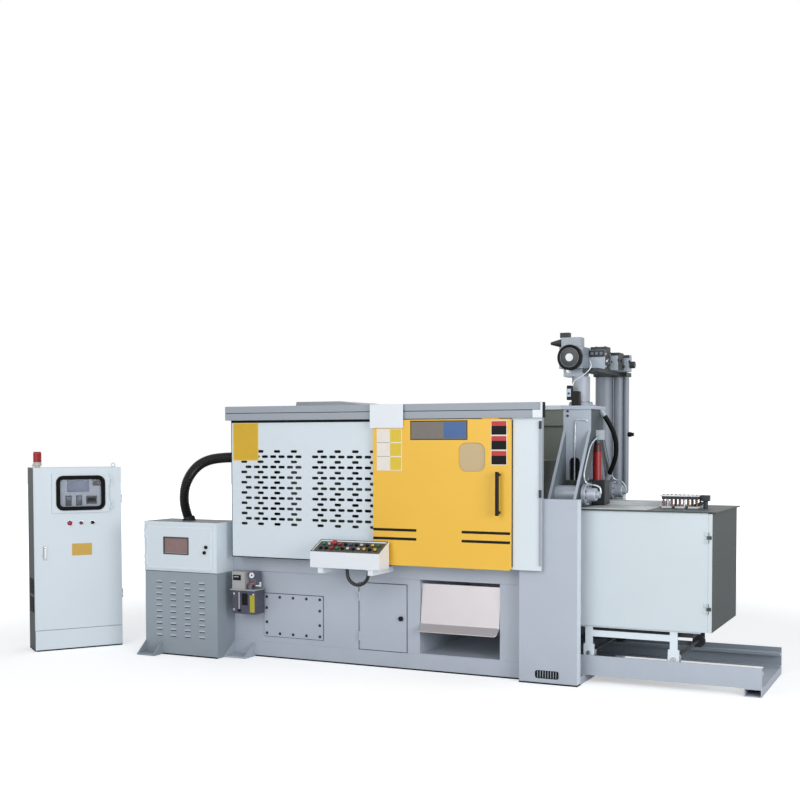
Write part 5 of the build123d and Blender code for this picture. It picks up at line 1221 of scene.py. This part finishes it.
class CASTER_OT_tower(Operator):
    """Finishes the injection tower, its cylinders, manifold and bottles"""

    bl_idname = "caster.tower"
    bl_label = "Injection tower"

    def execute(self, context):
        tower = dress("injection_frame", bed_paint())
        pale = finish("tower front paint", (0.70, 0.74, 0.79), 0.45, patches=0.05)
        recolour(tower, pale, lambda c, n: n.y < -0.3 and c.z > 1.196)
        # Painted shade: the left plate's inner side gets a darker copy of the tower paint.
        shade = finish("tower inner side painted shade", (0.44, 0.48, 0.51), 0.5, patches=0.1)
        recolour(tower, shade, lambda c, n: n.x > 0.5 and c.x < 1.12 and c.z > 1.196)
        # Painted shade: the right plate's outer side gets a dark copy of the tower paint.
        dark = finish("tower right side painted shade", (0.26, 0.30, 0.32), 0.5, patches=0.12)
        recolour(tower, dark, lambda c, n: n.x > 0.5 and 1.28 < c.x < 1.292 and 1.196 < c.z < 1.834)
        clamp = finish("clamp paint", (0.74, 0.77, 0.80), 0.4, patches=0.06)
        recolour(tower, clamp, lambda c, n: c.x > 1.306 and 1.6 < c.z < 1.7)
        dress("hose_bosses", cast_iron(), 0.002)
        dress("gooseneck", dark_iron(), 0.004)
        dress("position_switch", black_plastic(), 0.003)
        dress("accumulators", finish("bottle paint", (0.56, 0.59, 0.63), 0.5, 0.1, patches=0.1), 0.003)
        self.manifold()
        self.plunger()
        self.pull_cylinders()
        self.shot_cylinder()
        self.head()
        self.details()
        self.pipes()
        return {"FINISHED"}

    def manifold(self):
        """Pale valve blocks with dark caps; right sides, the far end and the plate's underside darkened as
        painted shade.
        """
        piece = dress("valve_manifold", cast_iron(), 0.003)
        dark = dark_iron()
        # Painted shade: the plate's underside and the far end.
        recolour(piece, dark, lambda c, n: c.z < 2.119 or c.x > 1.4035)
        recolour(piece, dark, lambda c, n: c.z > valve_top(c.y) + 0.0005)
        # Painted shade: the blocks' right sides.
        recolour(piece, dark, lambda c, n: n.x > 0.9 and c.y < 0.36 and c.z > 2.121)

    def plunger(self):
        """A red sleeve with a dark neck over the gooseneck."""
        low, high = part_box("plunger_cover")
        x, y = (low.x + high.x) / 2, (low.y + high.y) / 2
        dusk = finish("dark red", (0.30, 0.07, 0.08), 0.4, patches=0.2, patch=0.1)
        height = high.z - low.z
        shape = Shape()
        sleeve = ((0.0, 0.0), (0.031, 0.0), (0.031, height - 0.065), (0.029, height - 0.055),
                  (0.0, height - 0.055))
        neck = ((0.0, height - 0.06), (0.030, height - 0.06), (0.028, height - 0.012),
                (0.020, height), (0.0, height))
        shape.turned(sleeve, (x, y, low.z), UP, red_paint())
        shape.turned(neck, (x, y, low.z), UP, dusk)
        shape.make("plunger_sleeve", "machine", "plunger_cover")

    def pull_cylinders(self):
        """The two cylinders that pull the furnace's carriage, with grooved and bolted heads."""
        low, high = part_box("carriage_cylinders")
        shape = Shape()
        z = (low.z + high.z) / 2
        steel = finish("cylinder paint", (0.68, 0.71, 0.75), 0.42, 0.2, patches=0.08, patch=0.1)
        profile = ((0.0, 0.0), (0.060, 0.0), (0.060, 0.206), (0.071, 0.206), (0.071, 0.216),
                   (0.064, 0.217), (0.064, 0.221), (0.071, 0.222), (0.071, 0.232), (0.044, 0.232),
                   (0.044, 0.288), (0.040, 0.294), (0.024, 0.294), (0.024, 0.316), (0.021, 0.318),
                   (0.0, 0.318))
        for y in (-0.324, 0.324):
            shape.turned(profile, (low.x, y, z), RIGHT, steel)
            shape.bolt_ring((low.x + 0.232, y, z), RIGHT, 0.057, 0.006, dark_iron())
        shape.make("pull_cylinder_set", "machine", "carriage_cylinders")

    def shot_cylinder(self):
        """The upright injection cylinder on its bolted flange."""
        low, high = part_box("injection_cylinder")
        shape = Shape()
        x, y = (low.x + high.x) / 2, (low.y + high.y) / 2
        height = high.z - low.z
        paint = finish("shot cylinder", (0.66, 0.69, 0.73), 0.5, 0.1, patches=0.06)
        profile = ((0.0, 0.0), (0.084, 0.0), (0.084, 0.022), (0.080, 0.026), (0.063, 0.026),
                   (0.063, height), (0.0, height))
        shape.turned(profile, (x, y, low.z), UP, paint)
        shape.bolt_ring((x, y, low.z + 0.026), UP, 0.073, 0.006, dark_iron())
        shape.make("shot_cylinder_body", "machine", "injection_cylinder")

    def head(self):
        """The head's finishes and the three rings of the pressure dial."""
        paint = finish("head paint", (0.60, 0.63, 0.67), 0.4, 0.2, patches=0.1)
        piece = dress("injection_head", paint, 0.003)
        recolour(piece, dark_iron(), lambda c, n: c.x < 1.0385 or c.z > 2.3405)
        recolour(piece, black_plastic(), lambda c, n: c.y < -0.0915)
        recolour(piece, white_paint(), lambda c, n: c.y < -0.1135)
        centre = (1.124, -0.090, 2.195)
        shape = Shape()
        face = finish("dial face", (0.12, 0.14, 0.14), 0.3, patches=0.5, patch=0.05)
        outer = ((0.060, 0.022), (0.0885, 0.022), (0.0885, 0.030), (0.080, 0.034), (0.068, 0.030),
                 (0.060, 0.022))
        inner = ((0.028, 0.022), (0.066, 0.022), (0.064, 0.026), (0.040, 0.028), (0.028, 0.028),
                 (0.028, 0.022))
        bezel = ((0.064, 0.024), (0.068, 0.024), (0.068, 0.031), (0.064, 0.031), (0.064, 0.024))
        for ring, material in ((outer, black_plastic()), (inner, face), (bezel, valve_grey())):
            shape.turned(ring, centre, FRONT, material)
        shape.make("pressure_dial", "machine", slot="steel")

    def details(self):
        """Bolts, a black sheet of painted shade behind the peep window, the switch's label, the knob and
        the valves' ends.
        """
        shape = Shape()
        black, steel = dark_iron(), machined_steel()
        for z in (1.790, 1.822):
            shape.bolt((1.122, -0.142, z), FRONT, 0.009, black, washer=False)
        # Painted shade: a black sheet behind the peep window.
        shape.slab((1.112, -0.1215, 1.345), (1.236, -0.1185, 1.516), black_paint(), 0)
        blue = coloured_plastic("switch label", 190, 206, 224, 0.4)
        shape.slab((1.119, -0.1515, 1.922), (1.146, -0.150, 1.976), blue, 0)
        shape.rod((1.132, -0.1515, 1.944), (1.132, -0.1535, 1.944), 0.008, black, sides=16)
        shape.rod((1.362, 0.5425, 1.665), (1.386, 0.5425, 1.665), 0.018, black_plastic(), edge=0.002)
        shape.rod((1.386, 0.5425, 1.665), (1.404, 0.5425, 1.665), 0.013, black_plastic(), edge=0.002)
        for y in (0.150, 0.270, 0.430):
            for x in (1.235, 1.300):
                shape.bolt((x, y, valve_top(y) + VALVE_CAP), UP, 0.008, black)
        for y, size in ((0.090, 0.018), (0.160, 0.013)):
            shape.rod((1.327, y, 2.175), (1.343, y, 2.175), size, steel, edge=0.001, sides=24)
            shape.bolt((1.343, y, 2.175), RIGHT, size * 0.6, black, washer=False)
        for y, z in ((0.070, 2.225), (0.180, 2.225), (0.070, 2.138), (0.180, 2.138)):
            shape.bolt((1.327, y, z), RIGHT, 0.007, steel)
        shape.slab((1.210, 0.057, 2.205), (1.325, 0.060, 2.253), black, 0.001)
        for x in (1.235, 1.268, 1.301):
            shape.rod((x, 0.058, 2.229), (x, 0.046, 2.229), 0.011, valve_grey(), edge=0.001, sides=20)
        for x, y, z in ((1.380, 0.205, 2.190), (1.380, 0.280, 2.190), (1.380, 0.335, 2.150),
                        (1.403, 0.400, 2.190)):
            shape.rod((x - 0.001, y, z), (x + 0.010, y, z), 0.011, black, edge=0.001, sides=20)
        for y in (0.197, 0.365):
            shape.rod((1.240, y, 2.160), (1.320, y, 2.160), 0.012, black, sides=20)
        shape.bolt((1.100, -0.060, 2.110), FRONT, 0.014, steel)
        shape.make("tower_bolts", "machine", slot="steel")

    def pipes(self):
        """Four bright pipes, at the peep window, the head and the two legs."""
        silver = finish("bright pipe", (0.80, 0.83, 0.86), 0.25, 0.6, patches=0.05)
        y = -0.150
        window = ((1.174, y, 1.345), (1.175, y, 1.375), (1.176, y, 1.554), (1.177, y, 1.692),
                  (1.182, y, 1.762), (1.220, y, 1.766), (1.254, y, 1.762), (1.262, -0.142, 1.750))
        head = ((1.262, -0.092, 2.170), (1.290, -0.106, 2.132), (1.232, -0.112, 2.072),
                (1.167, -0.112, 2.040), (1.145, -0.112, 2.010), (1.140, -0.120, 1.962))
        leg = ((1.310, -0.032, 1.645), (1.300, -0.110, 1.622), (1.296, -0.180, 1.580),
               (1.296, -0.222, 1.530), (1.296, -0.276, 1.460), (1.296, -0.328, 1.385),
               (1.300, -0.305, 1.338), (1.330, -0.310, 1.322), (1.385, -0.324, 1.318),
               (1.418, -0.324, 1.300), (1.416, -0.324, 1.262))
        rear_leg = ((1.312, 0.032, 1.660), (1.300, 0.110, 1.640), (1.298, 0.200, 1.496),
                    (1.298, 0.304, 1.386), (1.320, 0.340, 1.332), (1.390, 0.330, 1.326),
                    (1.412, 0.324, 1.272))
        for name, points, radius in (("window_pipe", window, 0.005), ("head_pipe", head, 0.004),
                                     ("leg_pipe", leg, 0.006), ("rear_leg_pipe", rear_leg, 0.005)):
            pipe(name, points, radius, silver, "machine")


class CASTER_PT_panel(Panel):
    """Lists the sizes, colours and pieces of the die casting machine"""

    bl_idname = "CASTER_PT_panel"
    bl_label = "Die caster"
    bl_space_type = "VIEW_3D"
    bl_region_type = "UI"
    bl_category = "Die caster"

    def draw(self, context):
        scene = context.scene
        for group in (scene.caster_sizes, scene.caster_colours, scene.caster_studio):
            box = self.layout.box()
            for name in group.bl_rna.properties.keys():
                if name not in ("rna_type", "name"):
                    box.prop(group, name)
        for operator in OPERATORS:
            self.layout.operator(operator.bl_idname)


OPERATORS = (
    CASTER_OT_stage,
    CASTER_OT_hoses,
    CASTER_OT_bed,
    CASTER_OT_clamp,
    CASTER_OT_guard,
    CASTER_OT_door,
    CASTER_OT_desk,
    CASTER_OT_power,
    CASTER_OT_lubricator,
    CASTER_OT_cabinet,
    CASTER_OT_furnace,
    CASTER_OT_tower,
)
CLASSES = (CasterSizes, CasterColours, CasterStudio, *OPERATORS, CASTER_PT_panel)


def register():
    for item in CLASSES:
        bpy.utils.register_class(item)
    bpy.types.Scene.caster_sizes = PointerProperty(type=CasterSizes)
    bpy.types.Scene.caster_colours = PointerProperty(type=CasterColours)
    bpy.types.Scene.caster_studio = PointerProperty(type=CasterStudio)


def unregister():
    del bpy.types.Scene.caster_studio
    del bpy.types.Scene.caster_colours
    del bpy.types.Scene.caster_sizes
    for item in reversed(CLASSES):
        bpy.utils.unregister_class(item)


def main():
    register()
    bpy.ops.caster.stage()
    bpy.ops.caster.hoses()
    bpy.ops.caster.bed()
    bpy.ops.caster.clamp()
    bpy.ops.caster.guard()
    bpy.ops.caster.door()
    bpy.ops.caster.desk()
    bpy.ops.caster.power()
    bpy.ops.caster.lubricator()
    bpy.ops.caster.cabinet()
    bpy.ops.caster.furnace()
    bpy.ops.caster.tower()


if __name__ == "__main__":
    main()
